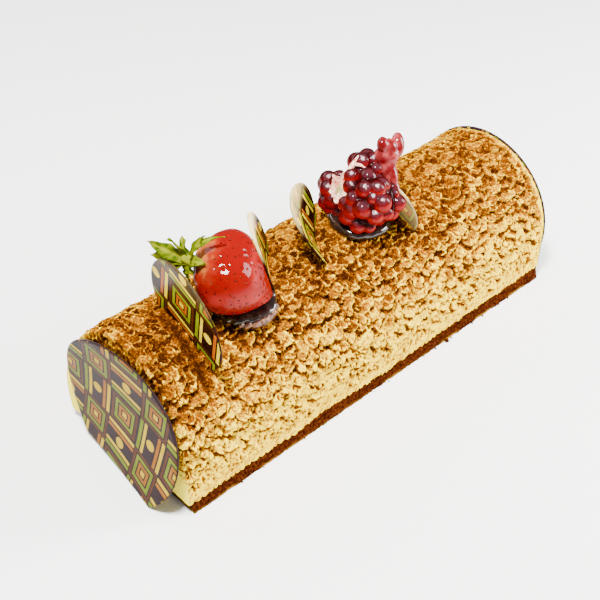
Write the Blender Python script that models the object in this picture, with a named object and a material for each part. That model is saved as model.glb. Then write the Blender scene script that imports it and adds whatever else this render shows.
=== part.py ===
"""Cream log cake with printed chocolate discs, a glazed strawberry and raspberries.

The log lies along X with its visible front side towards -Y and +Z up. Lengths are in metres.
The printed end disc with the free corner closes the -X end, and its partner the +X end.
"""
import math
import random

import bmesh
import bpy
from mathutils import Matrix, Vector, noise

MM = 0.001
GAP = 0.3 * MM

# Cream log: a horseshoe profile, upright sides below a half round
LOG_LENGTH = 250 * MM
LOG_HALF_WIDTH = 43.4 * MM
LOG_SHOULDER = 29.0 * MM
LOG_STATIONS = 48
SIDE_STEPS = 4
ARCH_STEPS = 24
END_ROUNDING = 3.0 * MM
END_INSET = 1.8 * MM
NEAR_END_SLOPE = 0.048
NEAR_END_STATIONS = 4
NEAR_LIP = 4.5 * MM
NEAR_LIP_HEIGHT = 60 * MM
NEAR_LIP_BELOW_GROUND = 8 * MM
RIDGE_HEIGHT = 1.92 * MM
RIDGE_SPACING = 7.5 * MM
RIDGES_BEGIN_BY = 8 * MM
UNEVENNESS = 0.7 * MM
UNEVENNESS_SPACING = 30 * MM
FLARE_HEIGHT = 2.4 * MM
FLARE_REACH = 11 * MM
END_WALL = 1.6 * MM

# Chocolate sponge under the cream, a little thicker towards the +X end
BASE_HALF_WIDTH = 43.2 * MM
BASE_HEIGHT_NEAR = 6.2 * MM
BASE_HEIGHT_FAR = 7.2 * MM
BASE_RIPPLE = 0.5 * MM
BASE_RIPPLE_SPACING = 9 * MM
BASE_WOBBLE = 0.5 * MM
BASE_STEPS = 30
BASE_FOOT = 0.5 * MM
BASE_ROOM_HALF_WIDTH = 60 * MM
BASE_ROOM_DEPTH = 2 * MM

# Printed chocolate discs; the end discs stand off the log's end planes
DISC_THICKNESS = 1.3 * MM
END_DISC_RADIUS = 41.6 * MM
END_DISC_CUT = 30.7 * MM
END_DISC_STANDOFF = 2.3
FAR_DISC_RADIUS = 43.8 * MM
FAR_DISC_CUT = 28.6 * MM
FAR_DISC_STANDOFF = 1.3
RIM_STEPS = 32
CUT_STEPS = 8
BENT_DISC_RINGS = (0.36, 0.7, 1.0)
SCRAP_REACH = 10 * MM

# Strawberry, widest at WIDEST_HEIGHT of the way from its tip to its leaves
STRAWBERRY_CENTRE = Vector((-67.2, -12.5, 88.7)) * MM
STRAWBERRY_RADIUS = 18.4 * MM
STRAWBERRY_LENGTH = 40.2 * MM
STRAWBERRY_AXIS = Vector((-0.649, 0.406, 0.643)).normalized()
STRAWBERRY_RINGS = 14
STRAWBERRY_COLUMNS = 24
TIP_SHARE = 0.62
WIDEST_SHARE = 1.04
WIDEST_HEIGHT = 0.7
OVAL_SHARE = 0.16
OVAL_TURN = -0.37
CALYX_DIRECTION = Vector((-0.75, 0.40, 0.53)).normalized()
CALYX_REACH = 21.6 * MM
STALK_RADIUS = 2.8 * MM
STALK_HALF_LENGTH = 4.4 * MM
STALK_RISE = 1.8 * MM
LEAF_THICKNESS = 0.7 * MM
LEAF_STEPS = 5
LEAF_ROOT_RISE = 1.5 * MM
LEAF_TIP_WIDTH = 0.5 * MM

# Chocolate bases under the fruit, as height and radius shares from below to above
PLINTH_LEVELS = [(0.0, 0.93), (0.25, 1.0), (0.7, 0.99), (1.0, 0.90)]
PLINTH_COLUMNS = 28
PLINTH_THICKNESS = 4.2 * MM
PLINTH_LIFT = 0.6 * MM
STRAWBERRY_PLINTH_PLACE = (-63.5, -10.5)
STRAWBERRY_PLINTH_RADIUS = 16.5 * MM
RASPBERRY_PLINTH_PLACE = (16.5, -6.0)
RASPBERRY_PLINTH_RADIUS = 16.0 * MM

# Raspberries; drops are given by place, radii and direction in millimetres
DRUPELET_RADIUS = 4.4 * MM
SMALLEST_DRUPELET = 0.86
LARGEST_DRUPELET = 1.1
DRUPELETS_REACH = math.radians(155)
FRONT_RASPBERRY = Vector((16.7, -14.6, 89.2)) * MM
TORN_RASPBERRY = Vector((14.6, 7.6, 85.4)) * MM
TOP_RASPBERRY = Vector((28.0, 0.0, 94.6)) * MM
FRONT_CORE = 10.8 * MM
SMALL_CORE = 6.3 * MM
TORN_EDGE = [((8.5, 0.6, 91.5), (3.8, 3.8, 8.5), (0.7, 0.0, 0.71))]
JELLY_DROPS = [
    ((36.1, -6.0, 104.2), (5.2, 4.8, 9.5), (1.33, -0.5, 0.8)),
    ((42.3, -6.0, 106.6), (4.4, 4.4, 6.3), (0.25, 0.0, 1.0)),
    ((33.4, -4.8, 109.4), (3.4, 3.4, 3.6), (0.0, 0.0, 1.0)),
    ((37.4, -5.8, 96.2), (3.4, 3.4, 9.5), (0.30, 0.10, 1.0)),
]

RED = (0.55, 0.01, 0.01)
DEEP_RED = (0.36, 0.01, 0.015)
CREAM = (0.85, 0.72, 0.48)
SPONGE = (0.10, 0.03, 0.015)
CHOCOLATE = (0.05, 0.025, 0.022)
LEAF = (0.22, 0.42, 0.05)


def clear_scene():
    for item in list(bpy.data.objects):
        bpy.data.objects.remove(item, do_unlink=True)


def make_material(name, colour, roughness, metallic=0.0):
    material = bpy.data.materials.new(name)
    material.use_nodes = True
    shader = material.node_tree.nodes["Principled BSDF"]
    shader.inputs["Base Color"].default_value = (*colour, 1.0)
    shader.inputs["Roughness"].default_value = roughness
    shader.inputs["Metallic"].default_value = metallic
    return material


def add_object(name, vertices, faces, material=None, collection=None):
    mesh = bpy.data.meshes.new(name)
    mesh.from_pydata([tuple(v) for v in vertices], [], faces)
    tidy = bmesh.new()
    tidy.from_mesh(mesh)
    bmesh.ops.triangulate(tidy, faces=tidy.faces[:])
    bmesh.ops.recalc_face_normals(tidy, faces=tidy.faces[:])
    tidy.to_mesh(mesh)
    tidy.free()
    item = bpy.data.objects.new(name, mesh)
    if material is not None:
        mesh.materials.append(material)
    (collection or bpy.context.scene.collection).objects.link(item)
    return item


def apply_modifiers(item):
    graph = bpy.context.evaluated_depsgraph_get()
    solid = bpy.data.meshes.new_from_object(item.evaluated_get(graph))
    item.modifiers.clear()
    item.data = solid


def keep_largest_shell(item):
    """Drop loose scraps and the walls of sealed hollows, which fills them."""
    shape = bmesh.new()
    shape.from_mesh(item.data)
    waiting = set(shape.verts)
    shells = []
    while waiting:
        shell = {waiting.pop()}
        front = list(shell)
        while front:
            vertex = front.pop()
            for edge in vertex.link_edges:
                other = edge.other_vert(vertex)
                if other in waiting:
                    waiting.remove(other)
                    shell.add(other)
                    front.append(other)
        shells.append(shell)
    largest = max(shells, key=len)
    loose = [vertex for vertex in shape.verts if vertex not in largest]
    bmesh.ops.delete(shape, geom=loose, context="VERTS")
    shape.to_mesh(item.data)
    shape.free()


def combine(item, tools, operation):
    """Apply one Boolean of the item with all the tools, and remove the tools."""
    group = bpy.data.collections.new("tools")
    bpy.context.scene.collection.children.link(group)
    for tool in tools:
        for owner in list(tool.users_collection):
            owner.objects.unlink(tool)
        group.objects.link(tool)
    cut = item.modifiers.new("combine", "BOOLEAN")
    cut.operation = operation
    cut.operand_type = "COLLECTION"
    cut.collection = group
    cut.solver = "EXACT"
    apply_modifiers(item)
    keep_largest_shell(item)
    for tool in list(group.objects):
        bpy.data.objects.remove(tool, do_unlink=True)
    bpy.data.collections.remove(group)
    return item


def shade(item, angle=40):
    item.data.shade_smooth()
    item.data.set_sharp_from_angle(angle=math.radians(angle))


def strip_faces(rows, columns, closed):
    """Quads between neighbouring points of a rows x columns grid, numbered row by row."""
    faces = []
    for r in range(rows - 1):
        for c in range(columns if closed else columns - 1):
            d = (c + 1) % columns
            faces.append((r * columns + c, r * columns + d, (r + 1) * columns + d, (r + 1) * columns + c))
    return faces


# The log and its base


def profile_points():
    """(y, z, outward normal) from the front foot over the top to the back foot."""
    points = []
    for i in range(SIDE_STEPS):
        points.append((-LOG_HALF_WIDTH, LOG_SHOULDER * i / SIDE_STEPS, -1.0, 0.0))
    for i in range(ARCH_STEPS + 1):
        angle = math.pi - math.pi * i / ARCH_STEPS
        c, s = math.cos(angle), math.sin(angle)
        points.append((LOG_HALF_WIDTH * c, LOG_SHOULDER + LOG_HALF_WIDTH * s, c, s))
    for i in range(SIDE_STEPS - 1, -1, -1):
        points.append((LOG_HALF_WIDTH, LOG_SHOULDER * i / SIDE_STEPS, 1.0, 0.0))
    return points


def relief(x, y, z):
    """How far the spatula ridges and the uneven spreading move the skin outwards."""
    here = Vector((x, y, z))
    ridge = noise.noise(here / RIDGE_SPACING)
    swell = noise.noise(here / UNEVENNESS_SPACING + Vector((7.0, 3.0, 1.0)))
    return RIDGE_HEIGHT * ridge + UNEVENNESS * swell


def end_flare(x, z):
    """The cream rises towards the printed disc at the +X end."""
    reach = (LOG_LENGTH / 2 - x) / FLARE_REACH
    height = min(1.0, max(0.0, (z - LOG_SHOULDER) / LOG_HALF_WIDTH + 0.1))
    return FLARE_HEIGHT * height * max(0.0, 1.0 - reach) ** 1.5


def near_end_shift(y, z):
    """How far the -X end's wall lies from its plane: it slopes inwards, with a lip of cream behind."""
    side = max(0.0, y / LOG_HALF_WIDTH)
    lip = math.sin(math.pi * min(1.0, (z + NEAR_LIP_BELOW_GROUND) / NEAR_LIP_HEIGHT))
    return NEAR_END_SLOPE * z - NEAR_LIP * side * side * lip


def build_log():
    outline = profile_points()
    half = LOG_LENGTH / 2
    step = (LOG_LENGTH - 2 * END_ROUNDING) / LOG_STATIONS
    inner = [-half + END_ROUNDING + step * i for i in range(LOG_STATIONS + 1)]
    stations = [-half] + inner + [half]
    vertices = []
    for x in stations:
        at_end = abs(x) == half
        near = max(0.0, 1.0 - (x + half) / (NEAR_END_STATIONS * step))
        for y, z, ny, nz in outline:
            push = end_flare(x, z)
            if at_end:
                push -= END_INSET
            else:
                push += relief(x, y, z) * min(1.0, z / RIDGES_BEGIN_BY)
            vertices.append((x + near_end_shift(y, z) * near, y + ny * push, z + nz * push))
    columns = len(outline)
    faces = strip_faces(len(stations), columns, closed=True)
    last = (len(stations) - 1) * columns
    hub_height = LOG_SHOULDER
    for first, x in ((0, -half + near_end_shift(0.0, hub_height)), (last, half)):
        vertices.append((x, 0.0, hub_height))
        hub = len(vertices) - 1
        for c in range(columns):
            faces.append((hub, first + c, first + (c + 1) % columns))
    return add_object("cream_log", vertices, faces, make_material("cream", CREAM, 0.6))


def base_height(x, side):
    share = x / LOG_LENGTH + 0.5
    height = BASE_HEIGHT_NEAR + (BASE_HEIGHT_FAR - BASE_HEIGHT_NEAR) * share
    return height + BASE_RIPPLE * noise.noise(Vector((x / BASE_RIPPLE_SPACING, side * 5.0, 0.0)))


def base_slab(name, grow, side_reach, material=None):
    """The sponge slab, or the room it needs when grow is the clearance around it."""
    half = LOG_LENGTH / 2 - END_WALL + grow
    vertices = []
    for i in range(BASE_STEPS + 1):
        x = -half + 2 * half * i / BASE_STEPS
        wobble = 0.0 if grow else BASE_WOBBLE * noise.noise(Vector((x / BASE_RIPPLE_SPACING, 9.0, 2.0)))
        front = -side_reach + wobble
        back = side_reach - wobble
        low = -BASE_ROOM_DEPTH if grow else 0.0
        foot = 0.0 if grow else BASE_FOOT
        tops = [base_height(x, side) + grow for side in (-1.0, 0.0, 1.0)]
        vertices += [(x, front + foot, low), (x, front, max(low, 0.0) + foot), (x, front, tops[0]),
                     (x, 0.0, tops[1]), (x, back, tops[2]), (x, back, max(low, 0.0) + foot),
                     (x, back - foot, low)]
    columns = 7
    faces = strip_faces(BASE_STEPS + 1, columns, closed=True)
    faces.append(tuple(range(columns)))
    faces.append(tuple(BASE_STEPS * columns + c for c in range(columns)))
    return add_object(name, vertices, faces, material)


# Printed discs


class Disc:
    """A round plate in its own plane, bent along one direction, then leaned, turned and placed.

    In its plane u runs towards -Y and v upwards. The bend moves it towards -X.
    """

    def __init__(self, radius, centre, lean, turn, bend, bend_angle, cut=None, roll=0.0):
        self.radius = radius
        self.centre = Vector(centre) * MM
        self.bend = bend / MM
        self.bend_direction = (math.cos(math.radians(bend_angle)), math.sin(math.radians(bend_angle)))
        self.cut = cut
        self.roll = math.radians(roll)
        self.pose = Matrix.Rotation(math.radians(turn), 3, "Z") @ Matrix.Rotation(math.radians(lean), 3, "Y")

    def rim(self):
        """Angle and radius of each rim point, with the straight foot of a cut disc."""
        if self.cut is None:
            return [(2 * math.pi * i / RIM_STEPS, self.radius) for i in range(RIM_STEPS)]
        start = -math.asin(self.cut / self.radius)
        stop = math.pi - start
        rim = [(start + (stop - start) * i / RIM_STEPS, self.radius) for i in range(RIM_STEPS + 1)]
        for i in range(1, CUT_STEPS):
            angle = stop + (2 * math.pi + start - stop) * i / CUT_STEPS
            rim.append((angle, self.cut / abs(math.sin(angle))))
        return rim

    def place(self, u, v, offset):
        c, s = math.cos(self.roll), math.sin(self.roll)
        u, v = u * c - v * s, u * s + v * c
        along = u * self.bend_direction[0] + v * self.bend_direction[1]
        depth = 0.5 * self.bend * along * along + offset
        return self.centre + self.pose @ Vector((-depth, -u, v))

    def solid(self, name, material=None, grow=0.0, beyond=0.0):
        """The disc, or with grow the room it needs, which beyond deepens towards +X."""
        rim = self.rim()
        vertices = []
        half = DISC_THICKNESS / 2 + grow
        ring_shares = BENT_DISC_RINGS if self.bend else (1.0,)
        sides = (-half - beyond, half)
        for side in sides:
            for ring in ring_shares:
                for angle, radius in rim:
                    reach = ring * radius + (grow if ring == 1.0 else 0.0)
                    vertices.append(self.place(reach * math.cos(angle), reach * math.sin(angle), side))
        columns = len(rim)
        rings = len(ring_shares)
        faces = []
        for side in range(2):
            start = side * rings * columns
            faces += [tuple(start + k for k in face) for face in strip_faces(rings, columns, closed=True)]
            vertices.append(self.place(0.0, 0.0, sides[side]))
            hub = len(vertices) - 1
            faces += [(hub, start + c, start + (c + 1) % columns) for c in range(columns)]
        low = (rings - 1) * columns
        high = (2 * rings - 1) * columns
        for c in range(columns):
            d = (c + 1) % columns
            faces.append((low + c, low + d, high + d, high + c))
        item = add_object(name, vertices, faces, material)
        if material is not None:
            shade(item)
        return item


def end_discs():
    half = LOG_LENGTH / 2 / MM
    near = Disc(END_DISC_RADIUS, (-half - END_DISC_STANDOFF, -1.7, 31.75), lean=5.0, turn=-0.7,
                bend=0.0068, bend_angle=-62.9, cut=END_DISC_CUT, roll=-3.2)
    far = Disc(FAR_DISC_RADIUS, (half + FAR_DISC_STANDOFF, 0.8, 29.2), lean=0.0, turn=0.0,
               bend=0.0, bend_angle=0.0, cut=FAR_DISC_CUT)
    return {"end_disc_near": near, "end_disc_far": far}


def topping_discs():
    a = Disc(27.0 * MM, (-95.9, -12.9, 82.6), lean=-5.4, turn=-6.1, bend=0.0008, bend_angle=40.0)
    b = Disc(19.6 * MM, (-43.4, -2.7, 82.9), lean=-15.8, turn=-36.1, bend=-0.0097, bend_angle=6.7)
    c = Disc(20.6 * MM, (-12.2, 0.1, 80.9), lean=-22.9, turn=-42.1, bend=-0.0193, bend_angle=-26.9)
    d = Disc(17.6 * MM, (36.5, -10.0, 75.6), lean=-16.3, turn=-1.3, bend=-0.0004, bend_angle=44.8)
    return {"topping_disc_a": a, "topping_disc_b": b, "topping_disc_c": c, "topping_disc_d": d}


# Fruit


def turned_frame(axis):
    """Rotation whose Z is the axis and whose X is level."""
    ahead = axis.normalized()
    side = Vector((0.0, 0.0, 1.0)).cross(ahead)
    side = side.normalized() if side.length > 0 else Vector((1.0, 0.0, 0.0))
    return Matrix((side, ahead.cross(side), ahead)).transposed()


def strawberry_radius(t, turn):
    """Radius share at height share t, 0 at the tip and 1 at the calyx, both ends kept open."""
    body = math.sin(math.pi * (t * 0.96 + 0.02)) ** 0.55
    taper = TIP_SHARE + (WIDEST_SHARE - TIP_SHARE) * min(1.0, t / WIDEST_HEIGHT)
    oval = 1.0 + OVAL_SHARE * math.cos(2 * (turn - OVAL_TURN))
    return body * taper * oval


def strawberry_solid(name, material, radius, length):
    """The berry, its leaf end slightly sunk, or the room that it needs."""
    frame = turned_frame(STRAWBERRY_AXIS)
    rings, columns = STRAWBERRY_RINGS, STRAWBERRY_COLUMNS
    vertices = []
    for r in range(1, rings):
        t = 0.5 - 0.5 * math.cos(math.pi * r / rings)
        for c in range(columns):
            turn = 2 * math.pi * c / columns
            reach = radius * strawberry_radius(t, turn)
            local = Vector((reach * math.cos(turn), reach * math.sin(turn), (t - 0.5) * length))
            vertices.append(STRAWBERRY_CENTRE + frame @ local)
    faces = strip_faces(rings - 1, columns, closed=True)
    for height, first in ((-0.5, 0), (0.47, (rings - 2) * columns)):
        vertices.append(STRAWBERRY_CENTRE + frame @ Vector((0.0, 0.0, height * length)))
        hub = len(vertices) - 1
        faces += [(hub, first + c, first + (c + 1) % columns) for c in range(columns)]
    item = add_object(name, vertices, faces, material)
    shade(item, 60)
    return item


def leaf_solid(name, root, tip, width, arch):
    """A thin pointed leaf from root to tip, its middle raised by arch and its sides folded up."""
    steps = LEAF_STEPS
    chord = tip - root
    along = chord.normalized()
    outward = (CALYX_DIRECTION - along * CALYX_DIRECTION.dot(along)).normalized()
    across = along.cross(outward).normalized()
    vertices = []
    for side in (-0.5, 0.5):
        for i in range(steps + 1):
            t = i / steps
            spread = width * (0.6 + 0.4 * math.sin(math.pi * t)) * (1.0 - t ** 3) + LEAF_TIP_WIDTH
            wave = 0.08 * width * math.sin(9.0 * t)
            middle = root + chord * t + outward * (arch * 4 * t * (1 - t))
            for k in (-1.0, 0.0, 1.0):
                fold = outward * (abs(k) * width * 0.22 * (1 - t) + k * wave)
                vertices.append(middle + across * (k * spread / 2) + fold + outward * side * LEAF_THICKNESS)
    layer = (steps + 1) * 3
    faces = []
    for face in strip_faces(steps + 1, 3, closed=False):
        faces.append(face)
        faces.append(tuple(layer + k for k in reversed(face)))
    edge = [i * 3 for i in range(steps + 1)] + [steps * 3 + 1]
    edge += [i * 3 + 2 for i in range(steps, -1, -1)] + [1]
    for a, b in zip(edge, edge[1:] + edge[:1]):
        faces.append((a, b, layer + b, layer + a))
    return add_object(name, vertices, faces)


def ball(name, centre, radii, axis=None, material=None, detail=2):
    """An ellipsoid, its third radius along the axis."""
    shape = bmesh.new()
    bmesh.ops.create_icosphere(shape, subdivisions=detail, radius=1.0)
    frame = turned_frame(axis) if axis is not None else Matrix.Identity(3)
    for vertex in shape.verts:
        scaled = Vector([vertex.co[k] * radii[k] for k in range(3)])
        vertex.co = Vector(centre) + frame @ scaled
    mesh = bpy.data.meshes.new(name)
    shape.to_mesh(mesh)
    shape.free()
    item = bpy.data.objects.new(name, mesh)
    if material is not None:
        mesh.materials.append(material)
    bpy.context.scene.collection.objects.link(item)
    return item


def build_leaves(material):
    """The stalk's stub with the sepals round it, each given by its tip, width and arch in millimetres."""
    heart = STRAWBERRY_CENTRE + CALYX_DIRECTION * CALYX_REACH
    sepals = [
        ((-90.0, 20.2, 101.5), 7.0, 1.5),
        ((-90.0, 19.0, 94.5), 7.0, 0.5),
        ((-90.0, 4.3, 111.6), 4.0, -1.0),
        ((-90.0, 11.3, 88.7), 7.0, 1.0),
        ((-80.0, 7.4, 106.2), 6.5, 1.0),
        ((-78.5, -6.8, 113.5), 6.0, 1.0),
        ((-71.5, -12.0, 112.0), 4.0, 4.5),
        ((-86.5, -7.6, 96.8), 7.5, 1.5),
        ((-83.0, -12.6, 103.6), 5.0, 1.5),
        ((-86.8, -4.6, 90.6), 6.0, 1.0),
    ]
    stalk = ball("strawberry_leaves", heart + CALYX_DIRECTION * STALK_RISE,
                 (STALK_RADIUS, STALK_RADIUS, STALK_HALF_LENGTH), CALYX_DIRECTION, material, detail=1)
    root = heart + CALYX_DIRECTION * LEAF_ROOT_RISE
    leaves = [leaf_solid("sepal", root, Vector(tip) * MM, width * MM, arch * MM)
              for tip, width, arch in sepals]
    combine(stalk, leaves, "UNION")
    room = strawberry_solid("room", None, STRAWBERRY_RADIUS + GAP, STRAWBERRY_LENGTH + 2 * GAP)
    return combine(stalk, [room], "DIFFERENCE")


def plinth_solid(name, place, radius, material, grow=0.0):
    """A round chocolate plate lying on the slope of the log's top, or the room that it needs."""
    x, y = place[0] * MM, place[1] * MM
    slope = math.asin(y / LOG_HALF_WIDTH)
    normal = Vector((0.0, math.sin(slope), math.cos(slope)))
    surface = Vector((x, y, LOG_SHOULDER + LOG_HALF_WIDTH * math.cos(slope)))
    centre = surface + normal * (PLINTH_LIFT - grow)
    frame = Matrix.Rotation(-slope, 3, "X")
    columns = PLINTH_COLUMNS
    vertices = []
    for height, share in PLINTH_LEVELS:
        for c in range(columns):
            turn = 2 * math.pi * c / columns
            wave = 1.0 + 0.03 * math.cos(2 * turn + 1.0) + 0.02 * math.cos(5 * turn)
            reach = radius * share * wave + grow
            local = Vector((reach * math.cos(turn), reach * math.sin(turn),
                            height * (PLINTH_THICKNESS + 2 * grow)))
            vertices.append(centre + frame @ local)
    faces = strip_faces(len(PLINTH_LEVELS), columns, closed=True)
    faces.append(tuple(range(columns)))
    faces.append(tuple((len(PLINTH_LEVELS) - 1) * columns + c for c in range(columns)))
    item = add_object(name, vertices, faces, material)
    shade(item, 50)
    return item


def drupelets(centre, core, axis, count, seed):
    """Drupelets spread over a ball round its axis, leaving the end where the stalk was free."""
    rng = random.Random(seed)
    frame = turned_frame(axis)
    golden = math.pi * (3 - math.sqrt(5))
    lowest = math.cos(DRUPELETS_REACH)
    balls = []
    for i in range(count):
        height = 1.0 - (1.0 - lowest) * (i + 0.5) / count
        ring = math.sqrt(1.0 - height * height)
        local = Vector((ring * math.cos(i * golden), ring * math.sin(i * golden), height))
        size = DRUPELET_RADIUS * rng.uniform(SMALLEST_DRUPELET, LARGEST_DRUPELET)
        balls.append(ball("drupelet", centre + frame @ local * core, (size, size, size), detail=1))
    return balls


def build_raspberry(name, centre, core, axis, count, material, seed, extras=()):
    """A core covered with drupelets, and any further drops given in millimetres."""
    berry = ball(name, centre, (core, core, core), material=material)
    parts = drupelets(centre, core, Vector(axis), count, seed)
    for place, size, direction in extras:
        parts.append(ball("drop", Vector(place) * MM, [s * MM for s in size], Vector(direction)))
    return combine(berry, parts, "UNION")


def berry_room(centre, core):
    reach = core + DRUPELET_RADIUS * LARGEST_DRUPELET + GAP
    return ball("room", centre, (reach, reach, reach), detail=3)


def build_raspberries(material, discs):
    """The whole berry in front, the torn one behind it and the glazed one on top of both."""
    build_raspberry("raspberry_front", FRONT_RASPBERRY, FRONT_CORE, (0.3, -0.5, 0.8), 28, material, seed=3)
    torn = build_raspberry("raspberry_torn", TORN_RASPBERRY, SMALL_CORE, (-0.7, 0.3, 0.5), 15, material,
                           seed=5, extras=TORN_EDGE)
    top = build_raspberry("raspberry_top", TOP_RASPBERRY, SMALL_CORE, (0.0, -0.3, 1.0), 15, material,
                          seed=8, extras=JELLY_DROPS)
    combine(torn, [berry_room(FRONT_RASPBERRY, FRONT_CORE), berry_room(TOP_RASPBERRY, SMALL_CORE),
                   discs["topping_disc_c"].solid("room", grow=GAP)], "DIFFERENCE")
    combine(top, [berry_room(FRONT_RASPBERRY, FRONT_CORE),
                  discs["topping_disc_d"].solid("room", grow=GAP)], "DIFFERENCE")


def centre_on_ground():
    """Move everything so that the middle of the bounding box's underside is the origin."""
    solids = [item for item in bpy.context.scene.objects if item.type == "MESH"]
    bpy.context.view_layer.update()
    corners = [item.matrix_world @ vertex.co for item in solids for vertex in item.data.vertices]
    low = Vector([min(corner[k] for corner in corners) for k in range(3)])
    high = Vector([max(corner[k] for corner in corners) for k in range(3)])
    middle = Vector(((low.x + high.x) / 2, (low.y + high.y) / 2, low.z))
    for item in solids:
        item.location -= middle


def build():
    clear_scene()
    printed = make_material("printed_chocolate", CHOCOLATE, 0.2)
    dark = make_material("dark_chocolate", CHOCOLATE, 0.15)
    red = make_material("strawberry_red", RED, 0.12)
    deep_red = make_material("raspberry_red", DEEP_RED, 0.12)

    log = build_log()
    base_slab("sponge_base", 0.0, BASE_HALF_WIDTH, make_material("sponge", SPONGE, 0.9))
    room = [base_slab("room", GAP, BASE_ROOM_HALF_WIDTH)]
    discs = {**end_discs(), **topping_discs()}
    for name, disc in discs.items():
        disc.solid(name, printed)
        room.append(disc.solid("room", grow=GAP))
    strawberry_plinth = plinth_solid("plinth_strawberry", STRAWBERRY_PLINTH_PLACE,
                                     STRAWBERRY_PLINTH_RADIUS, dark)
    raspberry_plinth = plinth_solid("plinth_raspberry", RASPBERRY_PLINTH_PLACE,
                                    RASPBERRY_PLINTH_RADIUS, dark)
    room.append(plinth_solid("room", STRAWBERRY_PLINTH_PLACE, STRAWBERRY_PLINTH_RADIUS, None, GAP))
    room.append(plinth_solid("room", RASPBERRY_PLINTH_PLACE, RASPBERRY_PLINTH_RADIUS, None, GAP))
    combine(log, room, "DIFFERENCE")

    strawberry = strawberry_solid("strawberry", red, STRAWBERRY_RADIUS, STRAWBERRY_LENGTH)
    combine(strawberry, [discs["topping_disc_b"].solid("room", grow=GAP, beyond=SCRAP_REACH)], "DIFFERENCE")
    berry_dent = strawberry_solid("room", None, STRAWBERRY_RADIUS + GAP, STRAWBERRY_LENGTH + 2 * GAP)
    behind = discs["topping_disc_b"].solid("room", grow=GAP, beyond=SCRAP_REACH)
    combine(strawberry_plinth, [berry_dent, behind], "DIFFERENCE")
    build_leaves(make_material("leaf", LEAF, 0.5))
    build_raspberries(deep_red, discs)
    combine(raspberry_plinth, [berry_room(FRONT_RASPBERRY, FRONT_CORE),
                               berry_room(TORN_RASPBERRY, SMALL_CORE)], "DIFFERENCE")
    centre_on_ground()


build()
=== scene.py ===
"""Looks of the cream log cake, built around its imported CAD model.

Shapes are given in millimetres in the cake's own frame: x along the log from its middle, y from its
middle line towards the back, z up from the ground. to_metres() turns them into the part's frame.
"""

import math
import random

import bmesh
import bpy
import numpy as np
from mathutils import Matrix, Vector, noise


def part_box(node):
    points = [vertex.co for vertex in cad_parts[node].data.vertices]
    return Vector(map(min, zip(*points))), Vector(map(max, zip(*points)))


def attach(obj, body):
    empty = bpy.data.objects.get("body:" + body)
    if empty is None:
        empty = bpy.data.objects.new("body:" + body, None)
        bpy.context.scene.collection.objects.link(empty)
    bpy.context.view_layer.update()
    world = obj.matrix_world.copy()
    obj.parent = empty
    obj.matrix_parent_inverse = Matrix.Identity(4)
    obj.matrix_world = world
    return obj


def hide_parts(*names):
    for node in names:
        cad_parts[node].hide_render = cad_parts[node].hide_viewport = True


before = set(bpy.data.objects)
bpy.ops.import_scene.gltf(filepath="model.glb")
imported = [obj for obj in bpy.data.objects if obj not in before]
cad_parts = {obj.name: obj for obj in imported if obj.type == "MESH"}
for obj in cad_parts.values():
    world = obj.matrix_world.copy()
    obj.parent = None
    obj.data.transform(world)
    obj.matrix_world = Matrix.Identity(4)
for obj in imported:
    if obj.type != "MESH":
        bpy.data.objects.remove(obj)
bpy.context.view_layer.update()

MM = 0.001
SPONGE_LOW, SPONGE_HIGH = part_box("sponge_base")
LOG_MIDDLE = (SPONGE_LOW[0] + SPONGE_HIGH[0]) / 2
GOLDEN_ANGLE = math.pi * (3 - math.sqrt(5))

# What lies to the right, up and towards the viewer as the photo shows the cake
RIGHTWARD = Vector((0.731, -0.682, 0.0))
UPWARD = Vector((0.443, 0.475, 0.760))
FORWARD = Vector((-0.487, -0.603, 0.631))

# The log: a half round on two upright sides, over a strip of sponge
HALF_LENGTH = 125.0
HALF_WIDTH = 43.4
SHOULDER = 29.0
ARCH = math.pi * HALF_WIDTH
PERIMETER = 2 * SHOULDER + ARCH
SPONGE_NEAR = 6.2
SPONGE_FAR = 7.2
SPONGE_HALF_LENGTH = 123.4
SPONGE_HALF_WIDTH = 43.35
SPONGE_FLARE = 2.0
COAT_TUCK = 41.8
BACK_BEGINS = 121.5
STROKE_SLANT = math.radians(64)

# The groove in the cream beside the front disc: its x at one distance round the log, and its skew
GROOVE_X = -98.0
GROOVE_S = 95.0
GROOVE_SKEW = 0.113

# Discs; the second one, which stands against the strawberry, also flattens it
DISC_HALF = 0.65
DISC_BEVEL = 0.35
DISC_B_CENTRE = (-43.4, -2.7, 82.9)
DISC_B_LEAN = -15.8
DISC_B_TURN = -36.1
DISC_B_BEND = -0.0097
DISC_B_BEND_ANGLE = 6.7
DISC_B_GAP = 1.0

# Strawberry
BERRY_CENTRE = Vector((-67.2, -12.5, 88.7))
BERRY_AXIS = Vector((-0.649, 0.406, 0.643)).normalized()
BERRY_RADIUS = 18.4
BERRY_LENGTH = 40.2
SEEDS = 250
SEED_SIZE = (0.36, 0.62, 0.26)
CALYX = Vector((-0.75, 0.40, 0.53)).normalized()
CALYX_REACH = 23.1
STUB_RADIUS = 2.9
STUB_LENGTH = 6.2

# Each sepal's tip, width and arch
SEPALS = [
    ((-90.0, 20.2, 101.5), 7.0, 1.5), ((-90.0, 19.0, 94.5), 7.0, 0.5), ((-90.0, 4.3, 111.6), 4.0, -1.0),
    ((-90.0, 11.3, 88.7), 7.0, 1.0), ((-80.0, 7.4, 106.2), 6.5, 1.0), ((-78.5, -6.8, 113.5), 6.0, 1.0),
    ((-71.5, -12.0, 112.0), 4.0, 4.5), ((-86.5, -7.6, 96.8), 7.5, 1.5), ((-83.0, -12.6, 103.6), 5.0, 1.5),
    ((-86.8, -4.6, 90.6), 6.0, 1.0),
]

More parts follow.
